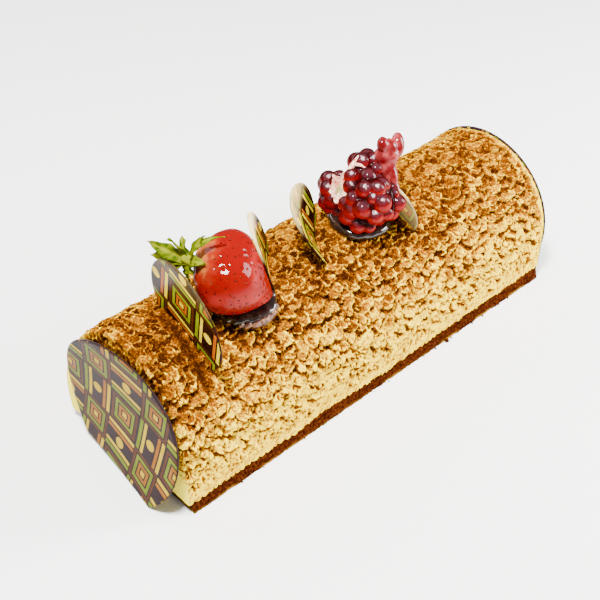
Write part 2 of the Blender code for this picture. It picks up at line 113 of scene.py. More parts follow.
# Raspberries: drupelets given one by one, each a middle and a radius
FRONT_DRUPELETS = [
    ((19.7, -8.7, 98.2), 5.0), ((19.5, -18.2, 98.6), 4.2), ((11.5, -15.0, 98.2), 4.6),
    ((14.2, -23.6, 93.9), 4.9), ((24.8, -24.1, 89.0), 4.3), ((7.1, -18.1, 91.0), 4.8),
    ((7.6, -11.5, 93.3), 4.1), ((12.5, -4.8, 94.6), 4.1), ((10.6, -22.9, 87.8), 4.3),
    ((16.2, -24.9, 87.8), 3.8), ((5.7, -9.7, 83.1), 4.5), ((7.5, -15.1, 79.8), 4.3),
    ((14.3, -2.8, 98.7), 3.6), ((11.4, -20.1, 96.3), 3.3), ((11.0, -19.1, 79.5), 3.4),
    ((24.1, -20.9, 92.9), 3.6), ((7.2, -6.6, 88.1), 3.8), ((22.6, -22.4, 83.4), 3.8),
]
TORN_DRUPELETS = [((9.5, 5.5, 78.5), 4.2), ((10.6, 1.4, 76.6), 4.0), ((8.4, 8.6, 80.4), 3.8)]

# Each berry's middle, core radius, axis, number of scattered drupelets, seed and placed drupelets
BERRIES = {
    "raspberry_front": ((16.7, -14.6, 89.2), 10.8, (0.3, -0.5, 0.8), 28, 3, FRONT_DRUPELETS),
    "raspberry_torn": ((14.6, 7.6, 85.4), 6.3, (-0.7, 0.3, 0.5), 15, 5, TORN_DRUPELETS),
    "raspberry_top": ((28.0, 0.0, 94.6), 6.3, (0.0, -0.3, 1.0), 15, 8, []),
}
DRUPELET = 4.4
DRUPELET_GAP = 4.3
VOXEL = 0.42

# The torn flesh, its outline given to the right of its middle and above it
FLESH_MIDDLE = Vector((8.1, -1.2, 93.4))
FLESH_OUTLINE = [
    (-3.4, 7.4), (-1.2, 5.8), (0.4, 6.0), (2.2, 8.4), (4.6, 8.8), (4.0, 5.2), (4.6, 2.0), (3.9, -1.4),
    (3.3, -4.4), (2.4, -7.4), (0.2, -6.6), (-2.2, -6.9), (-3.2, -4.2), (-5.0, -1.2), (-4.0, 1.8),
    (-3.2, 4.4),
]

# Threads of flesh, each a path and the thread's radius at its points
THREADS = {
    "flesh_thread_long": ([(13.6, -0.8, 98.2), (18.5, 0.6, 101.5), (23.0, 1.2, 104.6)], (1.5, 1.2, 0.3)),
    "flesh_thread_cross": ([(19.0, 1.0, 101.6), (20.2, -2.4, 102.3), (21.2, -5.2, 101.6)], (0.7, 1.2, 0.3)),
    "flesh_thread_low": ([(4.9, -4.6, 88.6), (5.4, -4.8, 85.6), (6.4, -5.0, 82.4)], (1.3, 1.0, 0.3)),
}

# The run of jelly from its drop downwards, each swelling's middle and its three radii
JELLY = [
    ((41.8, -6.8, 106.2), (3.4, 3.4, 6.2)), ((33.7, -4.4, 108.8), (2.9, 2.8, 3.9)),
    ((36.4, -5.9, 106.6), (4.4, 3.2, 4.6)), ((34.8, -6.4, 103.0), (6.3, 4.0, 5.2)),
    ((33.2, -8.2, 99.2), (4.6, 3.2, 6.0)), ((32.2, -12.6, 94.6), (3.4, 2.8, 6.2)),
    ((31.3, -16.4, 89.2), (2.4, 2.2, 5.0)),
]

# Plates under the fruit, and the glaze on the front rim of one of them
PLINTH_THICKNESS = 4.2
GLAZE_SPOTS = [
    ((-73.6, -22.6, 69.4), 1.7), ((-71.0, -24.4, 68.9), 2.0), ((-67.5, -26.2, 68.4), 2.3),
    ((-64.0, -26.7, 68.3), 2.6), ((-60.5, -26.4, 68.4), 2.7), ((-57.2, -25.5, 68.9), 2.5),
    ((-54.2, -23.9, 69.7), 2.1),
]
GLAZE_SLOPE = Vector((0.0, -0.55, 0.83))

# Colours of the discs' print: ground, green, yellow, orange and brown. The second set is the same print
# under a painted grey reflection haze
VIVID_PRINT = ((0.013, 0.0026, 0.001), (0.20, 0.25, 0.0003), (0.84, 0.60, 0.0003), (0.42, 0.090, 0.0003),
               (0.060, 0.015, 0.002))
PRINT_UNDER_PAINTED_HAZE = ((0.020, 0.011, 0.012), (0.12, 0.15, 0.005), (0.44, 0.29, 0.003), (0.25, 0.085, 0.005),
              (0.065, 0.021, 0.009))
# Pale colour laid over the discs' print: painted sheen towards the top, and pale bloom
PAINTED_SHEEN_AND_BLOOM = (0.80, 0.62, 0.26)

# Camera, in metres and degrees
CAMERA_PLACE = (-0.31776, -0.32312, 0.41428)
CAMERA_TILT = 49.5
CAMERA_HEADING = -43.0
CAMERA_LENS = 69.66


# Meshes


def to_metres(points):
    """Points in millimetres in the cake's frame, as metres in the part's frame."""
    moved = np.asarray(points, dtype=float) * MM
    moved[:, 0] += LOG_MIDDLE
    return moved


def add_object(name, data):
    item = bpy.data.objects.new(name, data)
    bpy.context.scene.collection.objects.link(item)
    return item


def mesh_piece(name, points, faces, material, smooth=True, normals=None):
    """A mesh object; with normals given, its faces are taken as they come."""
    mesh = bpy.data.meshes.new(name)
    mesh.from_pydata(to_metres(points).tolist(), [], faces)
    if normals is None:
        shape = bmesh.new()
        shape.from_mesh(mesh)
        bmesh.ops.recalc_face_normals(shape, faces=shape.faces[:])
        shape.to_mesh(mesh)
        shape.free()
    if smooth:
        mesh.shade_smooth()
    if normals is not None:
        mesh.normals_split_custom_set_from_vertices(normals.tolist())
    mesh.materials.append(material)
    return add_object(name, mesh)


def settle(item, slot, *nodes):
    """The piece rides on the cake and stands for the CAD nodes, which it hides; slot is not used."""
    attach(item, "root")
    if nodes:
        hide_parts(*nodes)


def add_values(item, name, values, kind="FLOAT", field="value"):
    """Gives each point of the piece a value or a vector that its material reads by name."""
    layer = item.data.attributes.new(name, kind, "POINT")
    layer.data.foreach_set(field, np.asarray(values, dtype=np.float32).ravel())


def grid_faces(rows, columns, closed=False, first=0):
    """Quads of a rows x columns grid of points, numbered row by row from first."""
    faces = []
    for r in range(rows - 1):
        for c in range(columns if closed else columns - 1):
            d = (c + 1) % columns
            a = first + r * columns
            b = a + columns
            faces.append((a + c, a + d, b + d, b + c))
    return faces


def capped_tube(rows, columns, first=0):
    """Faces of a tube of rings of points, with a cap on each end."""
    ends = (first, first + (rows - 1) * columns)
    caps = [tuple(range(start, start + columns)) for start in ends]
    return grid_faces(rows, columns, closed=True, first=first) + caps


def fan(hub, first, columns):
    """Triangles between one point and a ring of points."""
    return [(hub, first + c, first + (c + 1) % columns) for c in range(columns)]


def ring_turns(columns):
    """The angle of each point of a ring."""
    return [2 * math.pi * c / columns for c in range(columns)]


def unit_ball():
    """Points and faces of a coarse ball of radius 1."""
    shape = bmesh.new()
    bmesh.ops.create_icosphere(shape, subdivisions=2, radius=1.0)
    points = [v.co.copy() for v in shape.verts]
    faces = [tuple(v.index for v in f.verts) for f in shape.faces]
    shape.free()
    return points, faces


def renumbered(faces, first):
    return [tuple(first + k for k in face) for face in faces]


def spun(u, v, degrees):
    """The coordinates of points of a plane after a turn about its origin."""
    c, s = math.cos(math.radians(degrees)), math.sin(math.radians(degrees))
    return u * c - v * s, u * s + v * c


def turned_frame(axis):
    """Rotation whose Z is the axis and whose X is level."""
    ahead = axis.normalized()
    side = Vector((0.0, 0.0, 1.0)).cross(ahead).normalized()
    return Matrix((side, ahead.cross(side), ahead)).transposed()


def smooth_step(low, high, value):
    share = np.clip((value - low) / (high - low), 0.0, 1.0)
    return share * share * (3 - 2 * share)


def noise_at(x, y, z):
    return noise.noise(Vector((x, y, z)))


def lattice_noise(x, y, cell, seed):
    """Smooth noise between -1 and 1 over a plane, one random value for each cell corner."""
    rng = np.random.default_rng(seed)
    u = (x - x.min()) / cell
    v = (y - y.min()) / cell
    corners = rng.uniform(-1, 1, (int(u.max()) + 3, int(v.max()) + 3))
    i = u.astype(int)
    j = v.astype(int)
    p = u - i
    q = v - j
    p = p * p * (3 - 2 * p)
    q = q * q * (3 - 2 * q)
    low = corners[i, j] * (1 - p) + corners[i + 1, j] * p
    high = corners[i, j + 1] * (1 - p) + corners[i + 1, j + 1] * p
    return low * (1 - q) + high * q


# Shader nodes


def feed(tree, socket, value):
    """Sets a socket to a value or a colour, or links it to the output that feeds it."""
    if isinstance(value, bpy.types.NodeSocket):
        tree.links.new(value, socket)
    else:
        socket.default_value = (*value, 1.0) if isinstance(value, tuple) else value


def add_node(tree, kind, inputs=(), **settings):
    """A shader node; inputs pairs each socket with its value or with the output that feeds it."""
    item = tree.nodes.new(kind)
    for key, value in settings.items():
        setattr(item, key, value)
    for socket, value in inputs:
        feed(tree, item.inputs[socket], value)
    return item


def new_material(name):
    material = bpy.data.materials.new(name)
    material.use_nodes = True
    return material, material.node_tree


def set_shader(material, **values):
    """Feeds the sockets of the material's surface, which are named with underscores for spaces."""
    tree = material.node_tree
    for key, value in values.items():
        feed(tree, tree.nodes["Principled BSDF"].inputs[key.replace("_", " ")], value)
    return material


def attribute(tree, name, output="Fac"):
    return add_node(tree, "ShaderNodeAttribute", attribute_name=name).outputs[output]


def noise_value(tree, size, detail=3.0, roughness=0.55):
    """Noise whose features are about size millimetres across."""
    place = add_node(tree, "ShaderNodeTexCoord").outputs["Object"]
    return add_node(tree, "ShaderNodeTexNoise", [
        ("Vector", place), ("Scale", 1.0 / (size * MM)), ("Detail", detail),
        ("Roughness", roughness)]).outputs["Fac"]


def maths(tree, operation, a, b=0.0, clamp=False):
    return add_node(tree, "ShaderNodeMath", [(0, a), (1, b)], operation=operation,
                    use_clamp=clamp).outputs[0]


def plus(tree, a, b):
    return maths(tree, "ADD", a, b)


def times(tree, a, b):
    return maths(tree, "MULTIPLY", a, b)


def centred(tree, value, weight):
    """How far a value is above a half, times weight."""
    return times(tree, maths(tree, "SUBTRACT", value, 0.5), weight)


def picked(tree, share, a, b):
    """a where share is 0 and b where it is 1."""
    kept = times(tree, maths(tree, "SUBTRACT", 1.0, share), a)
    return plus(tree, kept, times(tree, share, b))


def colour_mix(tree, share, a, b, blend="MIX"):
    item = add_node(tree, "ShaderNodeMix", data_type="RGBA", blend_type=blend)
    sockets = {socket.identifier: socket for socket in item.inputs}
    for name, value in (("Factor_Float", share), ("A_Color", a), ("B_Color", b)):
        feed(tree, sockets[name], value)
    return next(socket for socket in item.outputs if socket.identifier == "Result_Color")


def ramp(tree, value, stops, interpolation="LINEAR"):
    item = add_node(tree, "ShaderNodeValToRGB", [("Fac", value)])
    band = item.color_ramp
    band.interpolation = interpolation
    while len(band.elements) > 1:
        band.elements.remove(band.elements[-1])
    band.elements[0].position = stops[0][0]
    band.elements[0].color = (*stops[0][1], 1.0)
    for position, colour in stops[1:]:
        band.elements.new(position).color = (*colour, 1.0)
    return item.outputs["Color"]


def bump(tree, height, distance, strength):
    return add_node(tree, "ShaderNodeBump", [
        ("Height", height), ("Distance", distance * MM), ("Strength", strength)]).outputs["Normal"]


# Materials


def mottled_material(name, mottle, stops, relief=None, cover=None, **values):
    """A material coloured by noise; mottle gives the noise's size, detail and roughness.

    relief gives its bump's distance and strength. cover names the points' value that lays another
    colour over it, and gives that colour.
    """
    material, tree = new_material(name)
    spots = noise_value(tree, *mottle)
    colour = ramp(tree, spots, stops)
    if cover:
        colour = colour_mix(tree, attribute(tree, cover[0]), colour, cover[1])
    if relief:
        values["Normal"] = bump(tree, spots, *relief)
    return set_shader(material, Base_Color=colour, **values)


def cream_material(name, palest):
    """Pale cream with cocoa on it: the points carry how much cocoa lies on them, with painted shade and
    painted light worked into the same value.
    """
    material, tree = new_material(name)
    cocoa_and_painted_light = attribute(tree, "cocoa_and_painted_light")
    grains = noise_value(tree, 0.95, 4.0, 0.75)
    gate = plus(tree, times(tree, cocoa_and_painted_light, 0.9), 0.34)
    speckle = times(tree, centred(tree, grains, 2.5), gate)
    drift = centred(tree, noise_value(tree, 2.8), 0.4)
    dusted = ramp(tree, plus(tree, plus(tree, cocoa_and_painted_light, speckle), drift), [
        (0.0, palest), (0.12, (0.70, 0.42, 0.0015)), (0.26, (0.36, 0.150, 0.0003)),
        (0.40, (0.215, 0.064, 0.0002)), (0.55, (0.130, 0.034, 0.0002)), (0.72, (0.070, 0.0165, 0.0004)),
        (0.88, (0.036, 0.008, 0.0006)), (1.0, (0.020, 0.0046, 0.0006))])
    return set_shader(material, Base_Color=dusted, Roughness=1.0, Specular_IOR_Level=0.0,
                      Normal=bump(tree, grains, 0.4, 0.8))


def sponge_material():
    """Dark crumb, with a thin paler yellowish band at its foot."""
    return mottled_material(
        "sponge", (1.3, 4.0, 0.7),
        [(0.36, (0.010, 0.0018, 0.0006)), (0.5, (0.034, 0.0062, 0.0014)), (0.66, (0.080, 0.021, 0.004))],
        relief=(0.6, 0.9), cover=("pale_foot_band", (0.24, 0.12, 0.012)), Roughness=1.0, Specular_IOR_Level=0.0)


def printed_material(name, palette):
    """Dark chocolate with a plain print: squares within squares beside squares of parallel bars."""
    ground, green, yellow, orange, brown = palette
    material, tree = new_material(name)
    spot = add_node(tree, "ShaderNodeSeparateXYZ", [("Vector", attribute(tree, "print", "Vector"))])
    across, up, bare = (spot.outputs[axis] for axis in "XYZ")
    column, row = (maths(tree, "FLOOR", way) for way in (across, up))
    u, v = (maths(tree, "SUBTRACT", maths(tree, "FRACT", way), 0.5) for way in (across, up))
    odd = maths(tree, "FLOORED_MODULO", plus(tree, column, row), 2.0)
    turned = maths(tree, "FLOORED_MODULO", row, 2.0)
    square = maths(tree, "MAXIMUM", maths(tree, "ABSOLUTE", u), maths(tree, "ABSOLUTE", v))
    nested = ramp(tree, square, [
        (0.0, yellow), (0.075, ground), (0.12, orange), (0.20, ground), (0.25, green),
        (0.34, ground), (0.38, brown), (0.46, ground)], "CONSTANT")
    bars = ramp(tree, plus(tree, picked(tree, turned, u, v), 0.5), [
        (0.0, ground), (0.04, green), (0.15, ground), (0.20, yellow), (0.30, ground),
        (0.70, orange), (0.80, ground), (0.85, yellow), (0.96, ground)], "CONSTANT")
    from_middle = maths(tree, "SQRT", plus(tree, times(tree, u, u), times(tree, v, v)))
    dot = maths(tree, "LESS_THAN", from_middle, 0.145)
    pattern = colour_mix(tree, odd, nested, colour_mix(tree, dot, bars, yellow))
    colour = colour_mix(tree, bare, pattern, ground)
    film = noise_value(tree, 7.0)
    shade = ramp(tree, film, [(0.3, (0.75, 0.75, 0.75)), (0.7, (1.0, 1.0, 1.0))])
    printed = colour_mix(tree, 1.0, colour, shade, "MULTIPLY")
    # Pale colour over the print, mottled by the film: painted sheen towards the top and pale bloom
    painted_sheen_and_bloom_share = maths(tree, "MULTIPLY", attribute(tree, "painted_sheen_and_bloom"), times(tree, film, 2.0), clamp=True)
    return set_shader(material, Base_Color=colour_mix(tree, painted_sheen_and_bloom_share, printed, PAINTED_SHEEN_AND_BLOOM),
                      Roughness=0.26, Specular_IOR_Level=0.02, Normal=bump(tree, film, 0.25, 0.25))


def dark_chocolate_material():
    return mottled_material(
        "dark_chocolate", (3.5,), [(0.35, (0.005, 0.0025, 0.002)), (0.7, (0.022, 0.009, 0.006))],
        relief=(0.5, 0.35), Roughness=0.16, Specular_IOR_Level=0.3, Coat_Weight=0.25, Coat_Roughness=0.04)


def strawberry_material():
    """Red from pale leaves' end to deep tip, veined, and lighter in a painted reflection of the floor in the
    glaze, low down and up its right side.
    """
    material, tree = new_material("strawberry")
    veins = noise_value(tree, 1.2, 2.0)
    level = plus(tree, attribute(tree, "ripeness"), centred(tree, noise_value(tree, 6.0), 0.3))
    colour = ramp(tree, level, [
        (0.0, (0.34, 0.10, 0.02)), (0.06, (0.22, 0.012, 0.003)), (0.15, (0.15, 0.0004, 0.0003)),
        (0.8, (0.135, 0.0002, 0.0001)), (1.0, (0.095, 0.0002, 0.0001))])
    mottled = colour_mix(tree, times(tree, veins, 0.35), colour, (0.06, 0.0001, 0.0001))
    # Painted reflection of the floor in the glaze: paler pink
    berry_with_painted_reflection = colour_mix(tree, attribute(tree, "glaze"), mottled, (0.24, 0.014, 0.012))
    return set_shader(material, Base_Color=berry_with_painted_reflection, Roughness=0.5, Specular_IOR_Level=0.0,
                      Coat_Weight=0.16, Coat_Roughness=0.015, Normal=bump(tree, veins, 0.12, 0.3))


def seed_material():
    return mottled_material(
        "strawberry_seed", (5.0, 1.0), [(0.4, (0.012, 0.001, 0.0005)), (0.62, (0.07, 0.012, 0.001))],
        Roughness=0.3, Specular_IOR_Level=0.05, Coat_Weight=0.12)


def leaf_material():
    material, tree = new_material("leaf")
    fine = noise_value(tree, 0.6)
    blotches = plus(tree, times(tree, noise_value(tree, 3.5), 0.8), times(tree, fine, 0.2))
    green = ramp(tree, blotches, [
        (0.34, (0.008, 0.036, 0.0003)), (0.46, (0.05, 0.075, 0.0003)), (0.66, (0.14, 0.16, 0.0006))])
    colour = colour_mix(tree, attribute(tree, "vein"), green, (0.26, 0.26, 0.004))
    return set_shader(material, Base_Color=colour, Roughness=0.6, Specular_IOR_Level=0.0,
                      Coat_Weight=0.05, Coat_Roughness=0.25, Normal=bump(tree, fine, 0.15, 0.5))


def raspberry_material():
    """Deep red drupelets, with painted shade between them, a painted glow brightest low on each, a painted
    grey reflection at its top and painted white highlights.
    """
    material, tree = new_material("raspberry")
    level = plus(tree, attribute(tree, "painted_drupelet_light"), centred(tree, noise_value(tree, 2.6), 0.6))
    colour = ramp(tree, level, [
        (0.0, (0.003, 0.0001, 0.0002)), (0.35, (0.022, 0.0001, 0.0003)), (0.65, (0.070, 0.0001, 0.0004)),
        (1.0, (0.19, 0.0002, 0.0006))])
    sheen = colour_mix(tree, attribute(tree, "painted_grey_reflection"), colour, (0.075, 0.024, 0.034))
    lit = colour_mix(tree, attribute(tree, "shine"), sheen, (0.50, 0.33, 0.34))
    return set_shader(material, Base_Color=lit, Roughness=0.4, Specular_IOR_Level=0.0,
                      Coat_Weight=0.22, Coat_Roughness=0.02)


def jelly_material():
    return mottled_material(
        "jelly", (4.0, 2.0),
        [(0.36, (0.11, 0.002, 0.003)), (0.5, (0.16, 0.010, 0.012)), (0.68, (0.32, 0.045, 0.045))],
        Roughness=0.12, Specular_IOR_Level=0.1, Transmission_Weight=0.25, IOR=1.36, Coat_Weight=0.15,
        Coat_Roughness=0.02)


def glaze_material():
    """Clear set glaze, crinkled, dull pink and beige over the dark chocolate."""
    return mottled_material(
        "glaze", (1.8, 4.0, 0.7),
        [(0.38, (0.010, 0.003, 0.003)), (0.49, (0.07, 0.022, 0.013)), (0.62, (0.26, 0.12, 0.06))],
        relief=(0.6, 0.8), Roughness=0.3, Specular_IOR_Level=0.2, Coat_Weight=0.25, Coat_Roughness=0.05)


def flesh_material():
    """Torn berry flesh: whitish pink, with a greenish grey hollow where its core sat."""
    return mottled_material(
        "raspberry_flesh", (1.8, 4.0, 0.65),
        [(0.36, (0.35, 0.012, 0.018)), (0.46, (0.70, 0.25, 0.16)), (0.58, (0.90, 0.58, 0.42))],
        relief=(0.4, 0.6), cover=("hollow", (0.26, 0.22, 0.07)), Roughness=0.3, Specular_IOR_Level=0.2,
        Coat_Weight=0.2, Coat_Roughness=0.05)


# The cream coat and the sponge


def profile(s):
    """(y, z, outward y, outward z) at distance s along the log's outline from the front foot."""
    angle = math.pi - (s - SHOULDER) / HALF_WIDTH
    on_front = s < SHOULDER
    on_back = s > SHOULDER + ARCH
    y = np.where(on_front, -HALF_WIDTH, np.where(on_back, HALF_WIDTH, HALF_WIDTH * np.cos(angle)))
    z = np.where(on_front, s, np.where(on_back, PERIMETER - s, SHOULDER + HALF_WIDTH * np.sin(angle)))
    ny = np.where(on_front, -1.0, np.where(on_back, 1.0, np.cos(angle)))
    nz = np.where(on_front | on_back, 0.0, np.sin(angle))
    return y, z, ny, nz


def sponge_height(x):
    share = np.clip(x / (2 * HALF_LENGTH) + 0.5, 0.0, 1.0)
    return SPONGE_NEAR + (SPONGE_FAR - SPONGE_NEAR) * share


def near_end_shift(y, z):
    """The -X end's wall slopes inwards, and a lip of cream curls out of it behind."""
    side = np.maximum(0.0, y / HALF_WIDTH)
    lip = np.sin(math.pi * np.minimum(1.0, (z + 8.0) / 60.0))
    return 0.048 * z - 4.5 * side * side * lip


def crown_share(s):
    """0 at the shoulders, 1 along the crown and below 0 on the upright sides."""
    return 1.0 - np.abs(s - PERIMETER / 2) / (ARCH / 2)


def oval_window(xs, ss, x0, s0, reach, turn, half_length, half_width):
    """The part of a grid round one spot, and how far its points lie along and across an oval there."""
    i0, i1 = np.searchsorted(xs, (x0 - reach, x0 + reach))
    j0, j1 = np.searchsorted(ss, (s0 - reach, s0 + reach))
    dx = xs[i0:i1, None] - x0
    ds = ss[None, j0:j1] - s0
    along = (dx * math.cos(turn) + ds * math.sin(turn)) / half_length
    across = (ds * math.cos(turn) - dx * math.sin(turn)) / half_width
    return (slice(i0, i1), slice(j0, j1)), along, across


def dab_field(xs, ss):
    """Overlapping spatula flakes: their height, the pale rim of each, bare of cocoa and painted palest as a
    highlight, and the cocoa on its middle.

    A flake blends into the cream at its upper end, rises down the slope and ends in a thin free lip.
    """
    row_gap, flake_gap, bare_level = 4.0, 4.8, -0.9
    rng = np.random.default_rng(21)
    X, S = np.meshgrid(xs, ss, indexing="ij")
    height = np.full(X.shape, bare_level)
    bare_rim_highlight = np.zeros(X.shape)
    film = np.full(X.shape, 0.6)
    ragged = (0.14 * lattice_noise(X, S, 1.1, 31) + 0.20 * lattice_noise(X, S, 2.3, 32)
              + 0.14 * lattice_noise(X, S, 4.5, 33))
    for row, s_row in enumerate(np.arange(-3.0, PERIMETER + 5.0, row_gap)):
        for x_row in np.arange(-131.0 + flake_gap / 2 * (row % 2), 132.0, flake_gap):
            x0 = x_row + rng.normal(0, 1.6)
            s0 = s_row + rng.normal(0, 1.4)
            crown = float(smooth_step(0.6, 0.98, crown_share(s0)))
            down = -math.pi / 2 + 0.45 if s0 < PERIMETER / 2 else math.pi / 2 - 0.45
            turn = down + rng.normal(0.0, 0.45 + 0.7 * crown)
            half_length = rng.uniform(1.9, 3.9)
            half_width = rng.uniform(2.0, 4.4) * (1 - 0.15 * crown)
            level = rng.uniform(-0.5, 0.5)
            rise = rng.uniform(1.0, 2.5)
            curl = rng.uniform(0.2, 0.7)
            keep = rng.uniform(0.0, 1.0)
            reach = 1.4 * max(half_length, half_width) + 0.5
            window, along, across = oval_window(xs, ss, x0, s0, reach, turn, half_length, half_width)
            radius = np.sqrt(along ** 2 + across ** 2) + ragged[window]
            ahead = np.clip((along + 1) / 2, 0, 1)
            lip = np.clip((radius - 0.72) / 0.12, 0, 1) * smooth_step(0.35, 0.65, ahead)
            flake = level - 0.3 + rise * ahead ** 1.5 - 0.3 * rise * across ** 2 + curl * lip
            taller = (radius < 1) & (flake > height[window])
            height[window] = np.where(taller, flake, height[window])
            bare_rim_highlight[window] = np.where(taller, lip, bare_rim_highlight[window])
            film[window] = np.where(taller, keep * smooth_step(1.0, 0.5, radius), film[window])
    return height, bare_rim_highlight, film


def shade_and_cocoa_pockets(height, ss):
    """How dark each point is in the shelter of the flake that stands over it from up the slope: painted
    shade, with cocoa caught there.
    """
    deepest = []
    for up in (-1, 1):
        above = height
        for across in range(-2, 3):
            for steps in range(1, 7):
                above = np.maximum(above, np.roll(height, (across, up * steps), (0, 1)))
        deepest.append(above - height)
    on_front = ss[None, :] < PERIMETER / 2
    return smooth_step(0.85, 1.75, np.where(on_front, deepest[0], deepest[1]))


def pit_field(xs, ss):
    """Small open holes in the cream, slanting as the spatula went, most of them pin-prick size."""
    pits, small_share, reach = 8200, 0.86, 3.0
    rng = np.random.default_rng(5)
    depth = np.zeros((len(xs), len(ss)))
    for _ in range(pits):
        x0 = rng.uniform(-124, 124)
        from_foot = rng.uniform(8, 92)
        s0 = from_foot if rng.uniform() < 0.5 else PERIMETER - from_foot
        small = rng.uniform() < small_share
        half_length = rng.uniform(0.35, 0.8) if small else rng.uniform(0.9, 1.7)
        half_width = rng.uniform(0.3, 0.5) if small else rng.uniform(0.45, 0.8)
        turn = rng.normal(1.2, 0.5)
        window, along, across = oval_window(xs, ss, x0, s0, reach, turn, half_length, half_width)
        hole = np.exp(-(along ** 2 + across ** 2) ** 1.5) * rng.uniform(0.45, 1.1)
        depth[window] = np.maximum(depth[window], hole)
    return depth


def cream_fields(xs, ss):
    """Height of the cream's surface in millimetres and the cocoa on it, over a plane grid."""
    X, S = np.meshgrid(xs, ss, indexing="ij")
    share = crown_share(S)
    wander = 0.12 * lattice_noise(X, S, 15.0, 40) + 0.08 * lattice_noise(X, S, 5.0, 41)
    flat = smooth_step(-0.02, -0.40, share + wander)
    crown = smooth_step(0.55, 0.95, share)

    # Flakes on the round, slanting strokes on the upright sides and pits in both
    height, bare_rim_highlight, film = dab_field(xs, ss)
    height = height + 0.16 * lattice_noise(X, S, 0.9, 1) + 0.24 * lattice_noise(X, S, 2.2, 2)
    over = X * math.sin(STROKE_SLANT) - S * math.cos(STROKE_SLANT)
    along = X * math.cos(STROKE_SLANT) + S * math.sin(STROKE_SLANT)
    ridges = lattice_noise(over * 3.4, along * 0.8, 4.0, 3)
    strokes = 0.42 * ridges + 0.2 * lattice_noise(X, S, 1.5, 8)
    smoothed = 0.45 + strokes + 0.22 * np.minimum(height + 0.1, 0)
    height = height * (1 - flat) + smoothed * flat
    pits = pit_field(xs, ss) * smooth_step(0.98, 0.6, share)
    height = height - 1.1 * pits

    # Cocoa lies on the crown, hardly on the sides or the flakes' rims, and thick in pockets and pits; the
    # rims are also painted palest as highlights, and pockets, pits and stroke valleys darkened with painted
    # shade
    gloom = 0.5 + 0.5 * lattice_noise(X, S, 2.6, 9)
    pocket_shade_and_cocoa = shade_and_cocoa_pockets(height, ss) * (0.40 + 0.60 * smooth_step(0.15, 0.5, gloom))
    broken = 0.15 + 0.85 * smooth_step(0.28, 0.58, 0.5 + 0.5 * lattice_noise(X, S, 1.7, 10))
    towards_far = X / (2 * HALF_LENGTH) + 0.5
    # Dusting thins towards the far end, painting that end lighter as the light falls from the far side
    dusting = smooth_step(-0.10, 0.80, share + 0.9 * wander) * (0.85 - 0.24 * towards_far)
    # The strokes' valleys on the upright sides darkened: painted shade
    stroke_valley_shade = flat * np.clip(-0.55 * ridges - 0.03, 0.0, 0.16)
    cocoa_and_painted_light = dusting * (0.44 + 1.06 * film) + 0.02 + stroke_valley_shade
    # Rims left bare of cocoa and painted palest as highlights on the lips
    cocoa_and_painted_light = cocoa_and_painted_light * (1 - 0.97 * bare_rim_highlight * broken * (1 - flat) * (1 - 0.65 * crown))
    # Pockets darkened with cocoa and painted shade
    cocoa_and_painted_light = np.maximum(cocoa_and_painted_light, pocket_shade_and_cocoa * (0.66 + 0.28 * dusting) * (1 - 0.6 * flat))
    # Pits darkened with cocoa and painted shade
    cocoa_and_painted_light = np.maximum(cocoa_and_painted_light, 0.72 * np.minimum(pits, 1.0))

    # A dark groove beside the front disc, with the disc's shadow painted into it, a paler near rim and lower
    # relief over the top
    beside_groove = X - GROOVE_X - GROOVE_SKEW * (S - GROOVE_S)
    groove = np.exp(-(beside_groove / 3.2) ** 2) * smooth_step(54, 62, S) * smooth_step(108, 99, S)
    # The groove darkened: cocoa, with the front disc's shadow painted in
    cocoa_and_painted_light = np.maximum(cocoa_and_painted_light, (0.86 + 0.3 * gloom) * groove)
    to_near = X + HALF_LENGTH
    # Cocoa thinned on the crown at the near end: painted light against the near disc's shadow
    cocoa_and_painted_light = cocoa_and_painted_light * (1 - 0.3 * smooth_step(9.0, 2.0, to_near) * crown)
    rear_rim = smooth_step(4.5, 1.0, to_near) * smooth_step(114, 130, S)
    cocoa_and_painted_light = cocoa_and_painted_light * (1 - 0.75 * rear_rim)
    over_top = smooth_step(80.0, 100.0, S)
    relief = (height - 0.2) * (1 - 0.65 * rear_rim) * (1 - 0.8 * groove) * (1 - 0.45 * over_top)
    return 0.2 + relief - 1.2 * groove, cocoa_and_painted_light


def grid_normals(points):
    """Unit normals, pointing out of the cake, of a grid of points along x and round the outline."""
    normals = np.cross(np.gradient(points, axis=0), np.gradient(points, axis=1))
    return normals / np.maximum(np.linalg.norm(normals, axis=-1, keepdims=True), 1e-9)


def along_s(field, ss, columns):
    """The field over distances ss, read at the distances of the mesh's own columns."""
    spot = np.interp(columns, ss, np.arange(len(ss)))
    low = np.minimum(spot.astype(int), len(ss) - 2)
    part = spot - low
    return field[:, low] * (1 - part) + field[:, low + 1] * part


def broad_swell(xs, ss, y, z):
    """Slow noise over the coat, worked out at every fourth point and filled in between."""
    size, step = 30, 4
    coarse = np.array([[noise_at(a / size + 7, b / size + 3, c / size + 1)
                        for b, c in zip(y[::step], z[::step])] for a in xs[::step]])
    coarse = np.array([np.interp(ss, ss[::step], line) for line in coarse])
    return np.array([np.interp(xs, xs[::step], line) for line in coarse.T]).T


